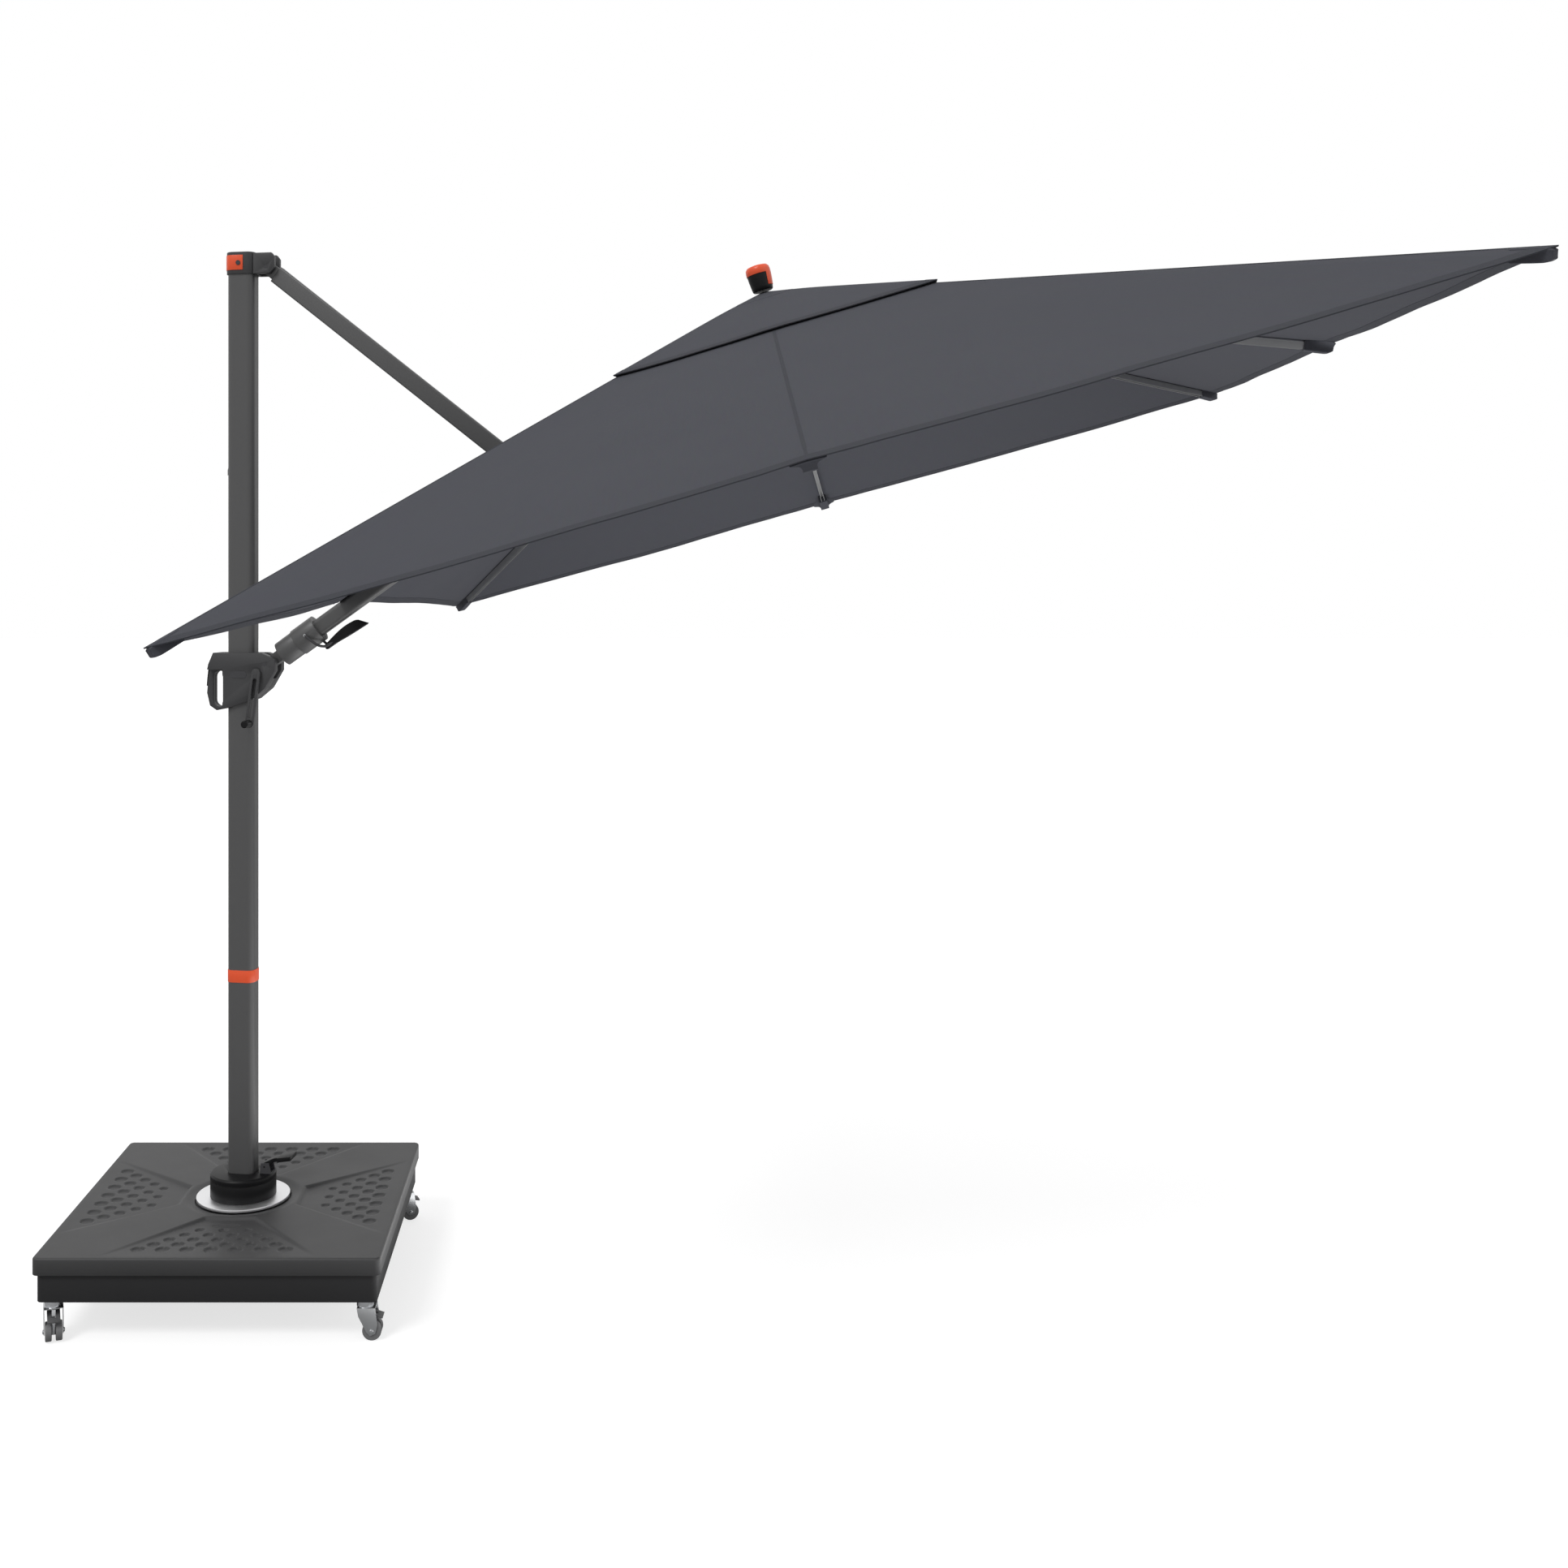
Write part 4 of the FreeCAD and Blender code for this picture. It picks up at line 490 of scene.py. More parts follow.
def hand_over(obj: bpy.types.Object, name: str, body: str, finish: Finish,
              replaces: Sequence[str] = ()) -> bpy.types.Object:
    """Name, dress and mount a finished piece.

    Args:
        obj: The piece, in its place.
        name: Its name.
        body: CAD body that it moves with.
        finish: Its finish.
        replaces: CAD nodes that it stands for.

    Returns:
        The piece.
    """
    obj.name = name
    obj.data.name = name
    obj.data.materials.clear()
    obj.data.materials.append(finish.make())
    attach(obj, body)
    if replaces:
        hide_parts(*replaces)
    LOG.info("%s: %d faces on %s", name, len(obj.data.polygons), body)
    return obj


def soften(node: str, width: float, finish: Finish) -> bpy.types.Object:
    """Copy a CAD node, merge its triangles, round its sharp edges and put the copy in its place.

    Args:
        node: Name of the CAD node.
        width: Bevel width in millimetres.
        finish: Finish of the copy.

    Returns:
        The copy.
    """
    source = frame["nodes"][node]
    mesh = source.data.copy()
    mesh.materials.clear()
    copy = bpy.data.objects.new(node + "_softened", mesh)
    bpy.context.scene.collection.objects.link(copy)
    with editing(copy, whole=True):
        bpy.ops.mesh.remove_doubles(threshold=0.00001)
        bpy.ops.mesh.dissolve_limited(angle_limit=math.radians(0.3))
    bevel(copy, width * MM, 38, use_clamp_overlap=True)
    smooth(copy, 32)
    body = source["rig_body"]
    return hand_over(copy, node + "_softened", body, finish, [node])


# ---------------------------------------------------------------- canopy

def smoothstep(value: float) -> float:
    """Return 0 below 0, 1 above 1 and an even curve between."""
    value = min(1.0, max(0.0, value))
    return value * value * (3 - 2 * value)


@dataclass(frozen=True)
class Pouch:
    """Sizes of one kind of pouch: how far its top spreads and how far its end stays inside the rim."""

    length: float
    width: float
    height: float
    spread: float
    inset: float


@dataclass(frozen=True)
class Layer:
    """One layer of cloth: the names of its pieces, hems and CAD node, its inner rim, its size and its height."""

    pieces: str
    hems: str
    node: str
    inner: float
    size: float
    lift: float


@dataclass
class Canopy:
    """The square cover with its hems, rib pockets and vent flap."""

    half: float = 1.430
    rise: float = 0.571
    vent_half: float = 0.430
    vent_lift: float = 0.009
    opening_half: float = 0.150
    cloth: float = 0.0012
    stand_off: float = 0.0012
    sag: float = 0.010
    dome: float = 0.005
    boom_half_height: float = 0.025
    boom_gap: float = 0.0008
    slit_along: float = 0.947
    slit_half_length: float = 0.085
    slit_half_width: float = 0.058
    hem_width: float = 0.026
    hem_cloth: float = 0.0012
    columns: int = 14
    rows: int = 46
    seam_steps: int = 60
    crown_steps: int = 96
    pivot_radius: float = 0.070
    crown_gap: float = 0.006
    crown_lap: float = 0.010
    crown_proud: float = 0.0004
    hem_reach: float = 1.0006
    hem_wrap: float = 1.2
    gore_shape: float = 1.9
    side_bow: float = 0.009
    left_bow: float = 0.026
    bow_drop: float = 0.004
    tuck: float = 0.050
    tuck_depth: float = 0.0035
    tuck_pitch: float = 0.055
    taut_zone: float = 0.20
    dome_radius: float = 0.12
    folded_share: float = 0.07
    clouds: tuple = ((3.1, 0.0035), (9.0, 0.0009))
    corner_pouch: Pouch = Pouch(0.080, 0.024, 0.031, 0.25, 0.004)
    side_pouch: Pouch = Pouch(0.075, 0.030, 0.032, 1.9, -0.001)
    seam_half_width: float = 0.0045
    seam_proud: float = 0.0010
    pouch_crease: float = 0.05
    pouch_droop: float = 0.004
    pouch_proud: float = 0.0015
    frame: Matrix = field(default_factory=LAYOUT.canopy)

    @property
    def up(self) -> Vector:
        """Return the direction of the canopy's axis in the row frame."""
        return self.frame.to_3x3() @ Vector((0, 0, 1))

    @property
    def slope(self) -> float:
        """Return the length of a side's slope against its run."""
        return math.hypot(1, self.rise / self.half)

    def left_lift(self) -> float:
        """Return how far the boom lifts the middle of the left side over the pyramid."""
        to_canopy = self.frame.inverted() @ LAYOUT.boom()
        height = self.boom_half_height + self.boom_gap
        start = to_canopy @ Vector((0, 0, height))
        along = to_canopy @ Vector((1, 0, height)) - start
        return start.z + along.z * (-self.half - start.x) / along.x + self.rise

    def corner(self, index: int) -> Vector:
        """Return one of the eight rim points in the canopy's frame.

        Args:
            index: Its number, from 0 at the right middle round by the rear.

        Returns:
            The point.
        """
        ring = ((1, 0), (1, 1), (0, 1), (-1, 1), (-1, 0), (-1, -1), (0, -1), (1, -1))
        x, y = ring[index % 8]
        lift = self.left_lift() if index % 8 == 4 else 0.0
        return Vector((x * self.half, y * self.half, lift - self.rise))

    def rim(self, turn: float) -> Vector:
        """Return a point of the bowed rim in the canopy's frame.

        Args:
            turn: Place round the canopy, in eighths of a turn.

        Returns:
            The point.
        """
        index = math.floor(turn)
        part = turn - index
        point = self.corner(index).lerp(self.corner(index + 1), part)
        bow = 4 * part * (1 - part)
        at_left = index % 8 in (3, 4)
        share = 1 - bow * (self.left_bow if at_left else self.side_bow)
        return Vector((point.x * share, point.y * share, point.z * (1 - bow * self.bow_drop)))

    def surface(self, turn: float, share: float, size: float = 1.0, lift: float = 0.0) -> Vector:
        """Return a point of the cloth in the row frame.

        Args:
            turn: Place round the canopy, in eighths of a turn.
            share: 0 at the apex and 1 at the rim.
            size: Size of the cloth against the whole canopy.
            lift: Height over the cover along the canopy's axis.

        Returns:
            The point.
        """
        part = turn - math.floor(turn)
        bow = 4 * part * (1 - part)
        point = self.rim(turn) * (share * size)
        drop = self.sag * bow * share ** 1.5 * size
        edge = max(0.0, (share - 1 + self.taut_zone) / self.taut_zone) if size == 1.0 else 0.0
        side = min(part, 1 - part) * self.half
        near = math.exp(-((side - self.tuck) / self.tuck) ** 2) * edge ** 2
        pull = near * self.tuck_depth * math.sin(side * 2 * math.pi / self.tuck_pitch)
        cloud = sum(noise.noise(point * scale) * depth for scale, depth in self.clouds)
        fade = min(1.0, side / (2 * self.tuck)) * min(1.0, share * 3)
        if lift:
            drop += self.dome * math.exp(-(math.hypot(point.x, point.y) / self.dome_radius) ** 2)
        z = point.z + self.stand_off + lift - drop + pull * fade + cloud * fade
        return self.frame @ Vector((point.x, point.y, z))

    def slit(self, share: float) -> float:
        """Return how far the slit for the strut opens to each side of the left seam.

        Args:
            share: Share of the way to the rim.

        Returns:
            The half opening, in eighths of a turn.
        """
        seam = self.frame.inverted() @ LAYOUT.boom() @ Vector((self.slit_along, 0, self.boom_half_height))
        off = (-self.half * share - seam.x) / self.slit_half_length
        if abs(off) >= 1:
            return 0.0
        return self.slit_half_width * math.sqrt(1 - off * off) / (self.half * share)

    def drape(self, name: str, cells: tuple[int, int], spot: Callable[[float, float], Spot], thickness: float,
              offset: float = 1.0) -> bpy.types.Object:
        """Lay a grid of cloth and give it its thickness.

        Args:
            name: Name of the sheet.
            cells: Number of cells across and down.
            spot: Gives the place and the UV place for a share across and a share down.
            thickness: Thickness of the sheet.
            offset: 1 where the thickness is added over the grid and -1 where it is added under it.

        Returns:
            The sheet.
        """
        deselect()
        bpy.ops.mesh.primitive_grid_add(x_subdivisions=cells[0], y_subdivisions=cells[1], size=2, calc_uvs=True)
        sheet = bpy.context.object
        sheet.name = name
        spots = []
        for vertex in sheet.data.vertices:
            vertex.co, uv = spot((vertex.co.x + 1) / 2, (vertex.co.y + 1) / 2)
            spots.append(uv)
        lay_uv(sheet, spots)
        face_up(sheet, self.up)
        apply_modifier(sheet, "SOLIDIFY", thickness=thickness, offset=offset)
        smooth(sheet, 50)
        return sheet

    def patch(self, layer: Layer, name: str, turns: tuple[float, float], seam: int) -> bpy.types.Object:
        """Make one piece of cloth between two places round the canopy.

        Args:
            layer: Layer of the piece.
            name: Name of the piece.
            turns: First and last place round the canopy.
            seam: -1 or 1 where the slit opens at the first or last column, otherwise 0.

        Returns:
            The cloth, with its thickness.
        """
        middle = 4.0 if seam else sum(turns) / 2

        def spot(u: float, v: float) -> Spot:
            """Return the place and the UV place for a share across and a share down."""
            share = layer.inner + (1 - layer.inner) * v
            opening = self.slit(share) if seam else 0.0
            first = turns[0] + (opening if seam == -1 else 0.0)
            last = turns[1] - (opening if seam == 1 else 0.0)
            turn = first + (last - first) * u
            out = share * self.half * layer.size
            return self.surface(turn, share, layer.size, layer.lift), ((turn - middle) * out, out)

        across = self.columns * (1 if seam else 2)
        down = self.rows if layer.size == 1.0 else self.rows // 2
        return self.drape(name, (across, down), spot, self.cloth)

    def flatten(self, piece: bpy.types.Object) -> None:
        """Give a piece its own copy of its mesh.

        Args:
            piece: Cloth over rib number index.
        """
        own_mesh(piece)

    def hem(self, layer: Layer, name: str, turns: tuple[float, float]) -> bpy.types.Object:
        """Make the doubled hem along one piece's rim.

        Args:
            layer: Layer of the piece.
            name: Name of the hem.
            turns: First and last place round the canopy.

        Returns:
            The hem, with its thickness.
        """
        start = 1 - self.hem_width / (self.half * layer.size)
        fold = self.hem_cloth * self.hem_wrap

        def spot(u: float, v: float) -> Spot:
            """Return the place and the UV place for a share across and a share down."""
            turn = turns[0] + (turns[1] - turns[0]) * u
            share = start + (self.hem_reach - start) * v
            where = self.surface(turn, share, layer.size, layer.lift - fold / 2)
            return where, (turn * self.half * layer.size, v * self.hem_width)

        return self.drape(name, (self.columns * 2, 3), spot, self.cloth + fold)

    def pocket(self, index: int) -> bpy.types.Object:
        """Make the pouch of doubled cloth that holds one rib's end.

        A corner's pouch is slim and folded to a blunt tip; a side's pouch spreads into a flat patch.

        Args:
            index: Place of the rib round the canopy, in eighths of a turn.

        Returns:
            The pouch.
        """
        outer = self.corner(index)
        sizes = self.corner_pouch if index % 2 else self.side_pouch
        radial = Vector((outer.x, outer.y, 0)).normalized()
        slope = math.atan2(-outer.z, math.hypot(outer.x, outer.y))
        pouch = block(sizes.length, sizes.width, sizes.height, 6)
        tip, tip_loss, mouth = 0.85, 0.35, 0.90
        for vertex in pouch.data.vertices:
            out = vertex.co.x / sizes.length + 0.5
            up = vertex.co.z / sizes.height + 0.5
            crease = self.pouch_crease * math.sin(out * 21 + vertex.co.y * 400)
            vertex.co.y *= 1 + crease + sizes.spread * up ** 4 * smoothstep((out - 0.15) / 0.8)
            side = min(1.0, abs(vertex.co.y) / (sizes.width * (0.5 + sizes.spread * 0.45)))
            vertex.co.z -= self.pouch_droop * side * side * up
            if up < 0.5:
                vertex.co.z *= mouth + (1 - mouth) * smoothstep(out * 1.4)
            if out > tip:
                vertex.co.z *= 1 - tip_loss * smoothstep((out - tip) / (1 - tip))
        apply_modifier(pouch, "SUBSURF", levels=2, render_levels=2)
        turn = Matrix.Rotation(math.atan2(radial.y, radial.x), 4, "Z") @ Matrix.Rotation(slope, 4, "Y")
        reach = outer.length - sizes.length / 2 - sizes.inset
        height = self.cloth - sizes.height / 2 + self.pouch_proud
        place(pouch, self.frame @ turn @ Matrix.Translation((reach, 0, height)))
        smooth(pouch, 60)
        return pouch

    def seam(self, index: int) -> bpy.types.Object:
        """Make the narrow sewn seam over one rib.

        Args:
            index: Place of the rib round the canopy, in eighths of a turn.

        Returns:
            The seam.
        """
        start, end = self.vent_half / self.half * 0.97, 0.985
        fall = 0.6

        def spot(u: float, v: float) -> Spot:
            """Return the place and the UV place for a share across and a share down."""
            share = start + (end - start) * v
            aside = 2 * u - 1
            height = self.cloth + self.seam_proud * (1 - fall * abs(aside))
            turn = index + aside * self.seam_half_width / (self.half * share)
            where = self.surface(turn, share) + self.up * height
            return where, where.xy

        return self.drape("seam", (2, self.seam_steps), spot, self.seam_proud + self.cloth, -1.0)

    def build(self) -> None:
        """Make every piece of cloth."""
        cover = Layer("canopy_", "hem_", "canopy", self.opening_half / self.half, 1.0, 0.0)
        vent = Layer("vent_", "vent_hem_", "canopy_vent", (self.pivot_radius + self.crown_gap) / self.vent_half,
                     self.vent_half / self.half, self.vent_lift)
        for index, rib in enumerate(RIBS):
            if rib is None:
                self.gore(cover, "left_far", (3.5, 4.0), "boom", 1)
                self.gore(cover, "left_near", (4.0, 4.5), "boom", -1)
                self.gore(vent, "left", (3.5, 4.5), "boom")
                continue
            for layer in (cover, vent):
                self.gore(layer, rib, (index - 0.5, index + 0.5), "rib_" + rib)
            hand_over(self.pocket(index), "rib_pocket_" + rib, "rib_" + rib, Finishes.FABRIC)
            # The seam takes the darker hem colour, which paints the soft shade along the ridge over this rib.
            hand_over(self.seam(index), "seam_" + rib, "rib_" + rib, Finishes.HEM)
        self.crown_patch(vent)

    def gore(self, layer: Layer, name: str, turns: tuple[float, float], body: str,
             seam: int = 0) -> None:
        """Make, dress and mount one piece of cloth and its hem.

        Args:
            layer: Layer of the piece.
            name: Name of the piece within its layer.
            turns: First and last place round the canopy, in eighths of a turn.
            body: CAD body that both ride on.
            seam: -1 or 1 where the slit opens at the first or last column, otherwise 0.
        """
        piece = self.patch(layer, layer.pieces + name, turns, seam)
        hem = self.hem(layer, layer.hems + name, turns)
        hand_over(hem, hem.name, body, Finishes.HEM)
        hand_over(piece, piece.name, body, Finishes.FABRIC)
        self.flatten(piece)
        self.flatten(hem)
        side = self.half * layer.size
        part = turns[1] - turns[0]
        area = side * side / 2 * self.slope * part
        if layer.size == 1.0:
            area -= self.opening_half ** 2 / 2 * part
        if name == "right":
            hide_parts(layer.node)

    def crown_patch(self, vent: Layer) -> None:
        """Make the round piece of cloth that the finial clamps on the crown.

        Args:
            vent: Layer of the flap, whose gores start where the patch laps them.
        """
        reach = vent.inner + self.crown_lap
        deselect()
        bpy.ops.mesh.primitive_circle_add(vertices=self.crown_steps, radius=1.0, fill_type="TRIFAN")
        disc = bpy.context.object
        for vertex in disc.data.vertices:
            if vertex.co.length > 0.5:
                vertex.co.normalize()
        with editing(disc, whole=True):
            for _ in range(2):
                bpy.ops.mesh.subdivide(number_cuts=1)
        for vertex in disc.data.vertices:
            turn = (math.atan2(vertex.co.y, vertex.co.x) / (2 * math.pi) * 8) % 8
            index = math.floor(turn)
            flat = math.tan(math.radians(45 * (turn - index)))
            if index % 2:
                flat = 1 - math.tan(math.radians(45 * (1 - (turn - index))))
            radius = min(1.0, vertex.co.length)
            vertex.co = self.surface(index + flat, radius * reach, vent.size, vent.lift + self.crown_proud)
        disc.data.uv_layers.new(name="UVMap")
        inverse = self.frame.inverted()
        lay_uv(disc, [(inverse @ vertex.co).xy for vertex in disc.data.vertices])
        face_up(disc, self.up)
        apply_modifier(disc, "SOLIDIFY", thickness=self.cloth, offset=1.0)
        smooth(disc, 50)
        hand_over(disc, "vent_crown", "boom", Finishes.FABRIC)


# ---------------------------------------------------------------- base

@dataclass
class BaseCover:
    """The moulded lid of the base, with four sunk panels of round cups."""

    side: float = 0.940
    corner: float = 0.016
    top: float = 0.232
    bottom: float = 0.185
    ceiling: float = 0.2192
    wall: float = 0.005
    edge: float = 0.006
    steps: int = 288
    panel_inner: float = 0.168
    panel_outer: float = 0.452
    inner_half: float = 0.075
    outer_half: float = 0.300
    panel_depth: float = 0.0085
    wall_run: float = 0.014
    first_row: float = 0.403
    row_pitch: float = 0.037
    cup_pitch: float = 0.067
    cup_rows: int = 5
    cup_radius: float = 0.0200
    cup_shrink: float = 0.0016
    cup_depth: float = 0.0042
    disc_radius: float = 0.1385
    ring_radius: float = 0.176
    ring_depth: float = 0.0065
    cup_wall: float = 0.0035
    first_cups: int = 7
    panel_fall: float = 0.8
    seat_depth: float = 0.008
    seat_gap: float = 0.001
    seat_wall: float = 0.003
    edge_steps: int = 4
    plate_at: float = 0.221
    plate_size: tuple[float, float] = (0.083, 0.026)
    plate_rim: float = 0.0016

    def depth(self, x: float, y: float) -> float:
        """Return how far the lid's top lies below its highest level.

        Args:
            x: Place along X.
            y: Place along Y.

        Returns:
            The depth.
        """
        radius = math.hypot(x, y)
        sink = 0.0
        if radius < self.ring_radius:
            slope = (self.ring_radius - radius) / (self.ring_radius - self.disc_radius)
            sink = self.ring_depth * smoothstep(min(1.0, slope))
            sink += self.seat_depth * smoothstep((self.disc_radius + self.seat_gap - radius) / self.seat_wall)
        out, aside = (abs(x), y) if abs(x) > abs(y) else (abs(y), x)
        if out <= self.panel_inner:
            return sink
        run = (out - self.panel_inner) / (self.panel_outer - self.panel_inner)
        half = self.inner_half + (self.outer_half - self.inner_half) * min(1.0, run)
        lean = (self.outer_half - self.inner_half) / (self.panel_outer - self.panel_inner)
        inside = min(out - self.panel_inner, (half - abs(aside)) / math.hypot(1, lean))
        if inside <= 0 or run >= 1:
            return sink
        level = self.panel_depth * (1 - run) ** self.panel_fall
        sink += level * smoothstep(inside / self.wall_run)
        row = round((self.first_row - out) / self.row_pitch)
        if 0 <= row < self.cup_rows:
            shift = 0.0 if row % 2 == 0 else 0.5
            column = round(aside / self.cup_pitch - shift) + shift
            if abs(column) <= (self.first_cups - 1 - row) / 2 + 0.01:
                away = math.hypot(aside - column * self.cup_pitch, out - (self.first_row - row * self.row_pitch))
                radius = self.cup_radius - self.cup_shrink * row
                sink += self.cup_depth * smoothstep((radius - away) / self.cup_wall)
        return sink

    def build(self) -> None:
        """Make the lid."""
        deselect()
        bpy.ops.mesh.primitive_grid_add(x_subdivisions=self.steps, y_subdivisions=self.steps, size=2)
        lid = bpy.context.object
        half = self.side / 2 - self.edge
        radius = self.corner - self.edge
        core = half - radius
        for vertex in lid.data.vertices:
            x, y = vertex.co.x * half, vertex.co.y * half
            u, v = (abs(x) - core) / radius, (abs(y) - core) / radius
            if u > 0 and v > 0:
                x, y = (math.copysign(core + radius * u * math.sqrt(1 - v * v / 2), x),
                        math.copysign(core + radius * v * math.sqrt(1 - u * u / 2), y))
            vertex.co = Vector((x, y, self.top - self.depth(x, y)))
        moves = []
        for step in range(self.edge_steps):
            before, after = (math.radians(90 * (step + i) / self.edge_steps) for i in (0, 1))
            moves.append((self.edge * (math.sin(after) - math.sin(before)),
                          self.edge * (math.cos(after) - math.cos(before))))
        moves += [(0.0, -(self.top - self.edge - self.bottom) + MM), (-MM, -MM), (-self.wall + MM, 0.0),
                  (0.0, self.ceiling - self.bottom)]
        with editing(lid):
            bpy.ops.mesh.select_non_manifold(extend=False)
            for out, up in moves:
                bpy.ops.mesh.extrude_region_move()
                mesh = bmesh.from_edit_mesh(lid.data)
                for vertex in mesh.verts:
                    if vertex.select:
                        x, y = vertex.co.x, vertex.co.y
                        away = Vector((max(0.0, abs(x) - core), max(0.0, abs(y) - core), 0)).normalized()
                        vertex.co += Vector((math.copysign(away.x, x) * out, math.copysign(away.y, y) * out, up))
                bmesh.update_edit_mesh(lid.data)
            bpy.ops.mesh.edge_face_add()
        face_outwards(lid)
        smooth(lid, 50)
        hand_over(lid, "lid", "base", Finishes.COVER, ["base_cover"])
        self.plate()

    def plate(self) -> None:
        """Make the bare pill-shaped plate near the inner end of the front panel."""
        level = self.top - self.depth(0.0, -self.plate_at)
        pill("lid_plate", self.plate_size, self.plate_rim, Matrix.Translation((0, -self.plate_at, level)), "base",
             Finishes.COVER)


def pill(name: str, size: tuple[float, float], height: float, at: Matrix, body: str,
         finish: Finish) -> bpy.types.Object:
    """Make a bare plate with round ends and a raised rim.

    Args:
        name: Name of the plate.
        size: Its length and width.
        height: Height of its rim.
        at: Placement; the plate lies on the XY plane and rises along Z.
        body: CAD body that it rides on.
        finish: Finish.

    Returns:
        The plate.
    """
    length, width = size
    rim, sink, rounding = 0.09, 0.45, 0.18
    deselect()
    bpy.ops.mesh.primitive_cylinder_add(vertices=48, radius=width / 2, depth=height)
    plate = bpy.context.object
    for vertex in plate.data.vertices:
        vertex.co.x += math.copysign((length - width) / 2, vertex.co.x) if abs(vertex.co.x) > 1e-6 else 0
    with editing(plate):
        select_faces(plate, lambda face: face.normal.z > 0.9)
        bpy.ops.mesh.inset(thickness=width * rim)
        bpy.ops.transform.translate(value=(0, 0, -height * sink))
    bevel(plate, height * rounding, 40)
    place(plate, at)
    smooth(plate, 40)
    return hand_over(plate, name, body, finish)


def lathe(profile: Sequence[tuple[float, float]], steps: int) -> bpy.types.Object:
    """Spin a profile about Z.

    Args:
        profile: Radius and height of each point, ending on the axis.
        steps: Number of segments round the axis.

    Returns:
        The closed solid.
    """
    deselect()
    bpy.ops.mesh.primitive_plane_add(size=1)
    turned = bpy.context.object
    with editing(turned, whole=True) as mesh:
        bpy.ops.mesh.delete(type="VERT")
        points = [mesh.verts.new((radius, 0, height)) for radius, height in profile]
        for first, second in zip(points, points[1:]):
            mesh.edges.new((first, second))
        bmesh.update_edit_mesh(turned.data)
        bpy.ops.mesh.select_all(action="SELECT")
        bpy.ops.mesh.spin(steps=steps, angle=2 * math.pi, center=(0, 0, 0), axis=(0, 0, 1))
        bpy.ops.mesh.select_all(action="SELECT")
        bpy.ops.mesh.remove_doubles(threshold=0.00002)
        bpy.ops.mesh.normals_make_consistent(inside=False)
    return turned


def tube(points: Sequence[Point], radius: float) -> bpy.types.Object:
    """Return a round rod that follows smooth points.

    Args:
        points: Control points of its middle line.
        radius: Radius of the rod.

    Returns:
        The rod as a mesh.
    """
    deselect()
    bpy.ops.curve.primitive_nurbs_path_add()
    path = bpy.context.object
    path.data.splines.clear()
    spline = path.data.splines.new("NURBS")
    spline.points.add(len(points) - 1)
    for point, where in zip(spline.points, points):
        point.co = (*where, 1)
    spline.order_u = 3
    spline.use_endpoint_u = True
    spline.resolution_u = 8
    path.data.bevel_depth = radius
    path.data.bevel_resolution = 5
    path.data.use_fill_caps = True
    pick(path)
    bpy.ops.object.convert(target="MESH")
    rod = bpy.context.object
    face_outwards(rod)
    return rod


# ---------------------------------------------------------------- top fitting

@dataclass
class Finial:
    """The cap on the canopy: a black body with an orange shell over its top and one side."""

    foot: float = 0.008
    shell: float = 0.0012
    rounding: float = 0.0004
    top_from: float = 0.052
    side_from: float = 0.011
    side_half_angle: float = 52.0
    profile: tuple = ((0.0, 0.0), (0.0265, 0.0), (0.0290, 0.0025), (0.0305, 0.012), (0.0325, 0.030), (0.0338, 0.048),
                      (0.0338, 0.058), (0.0325, 0.0655), (0.0285, 0.0705), (0.0200, 0.0725), (0.0, 0.0728))

    def build(self) -> None:
        """Make the body and its shell."""
        body = lathe(self.profile, 64)
        place(body, LAYOUT.canopy() @ Matrix.Translation((0, 0, self.foot)))
        smooth(body, 40)
        hand_over(body, "finial_body", "boom", Finishes.BLACK, ["finial"])
        shell = lathe(self.profile, 64)
        with editing(shell):
            select_faces(shell, lambda face: not self._covered(face.calc_center_median()))
            bpy.ops.mesh.delete(type="FACE")
        apply_modifier(shell, "SOLIDIFY", thickness=self.shell, offset=1.0)
        bevel(shell, self.rounding, 50)
        place(shell, LAYOUT.canopy() @ Matrix.Translation((0, 0, self.foot)))
        smooth(shell, 40)
        hand_over(shell, "finial_shell", "boom", Finishes.ORANGE)

    def _covered(self, centre: Vector) -> bool:
        """Tell whether a place on the body, given in the cap's own frame, lies under the shell."""
        side = abs(math.degrees(math.atan2(centre.y, centre.x))) < self.side_half_angle
        return centre.z > self.top_from or (side and centre.z > self.side_from)


# ---------------------------------------------------------------- boom lever

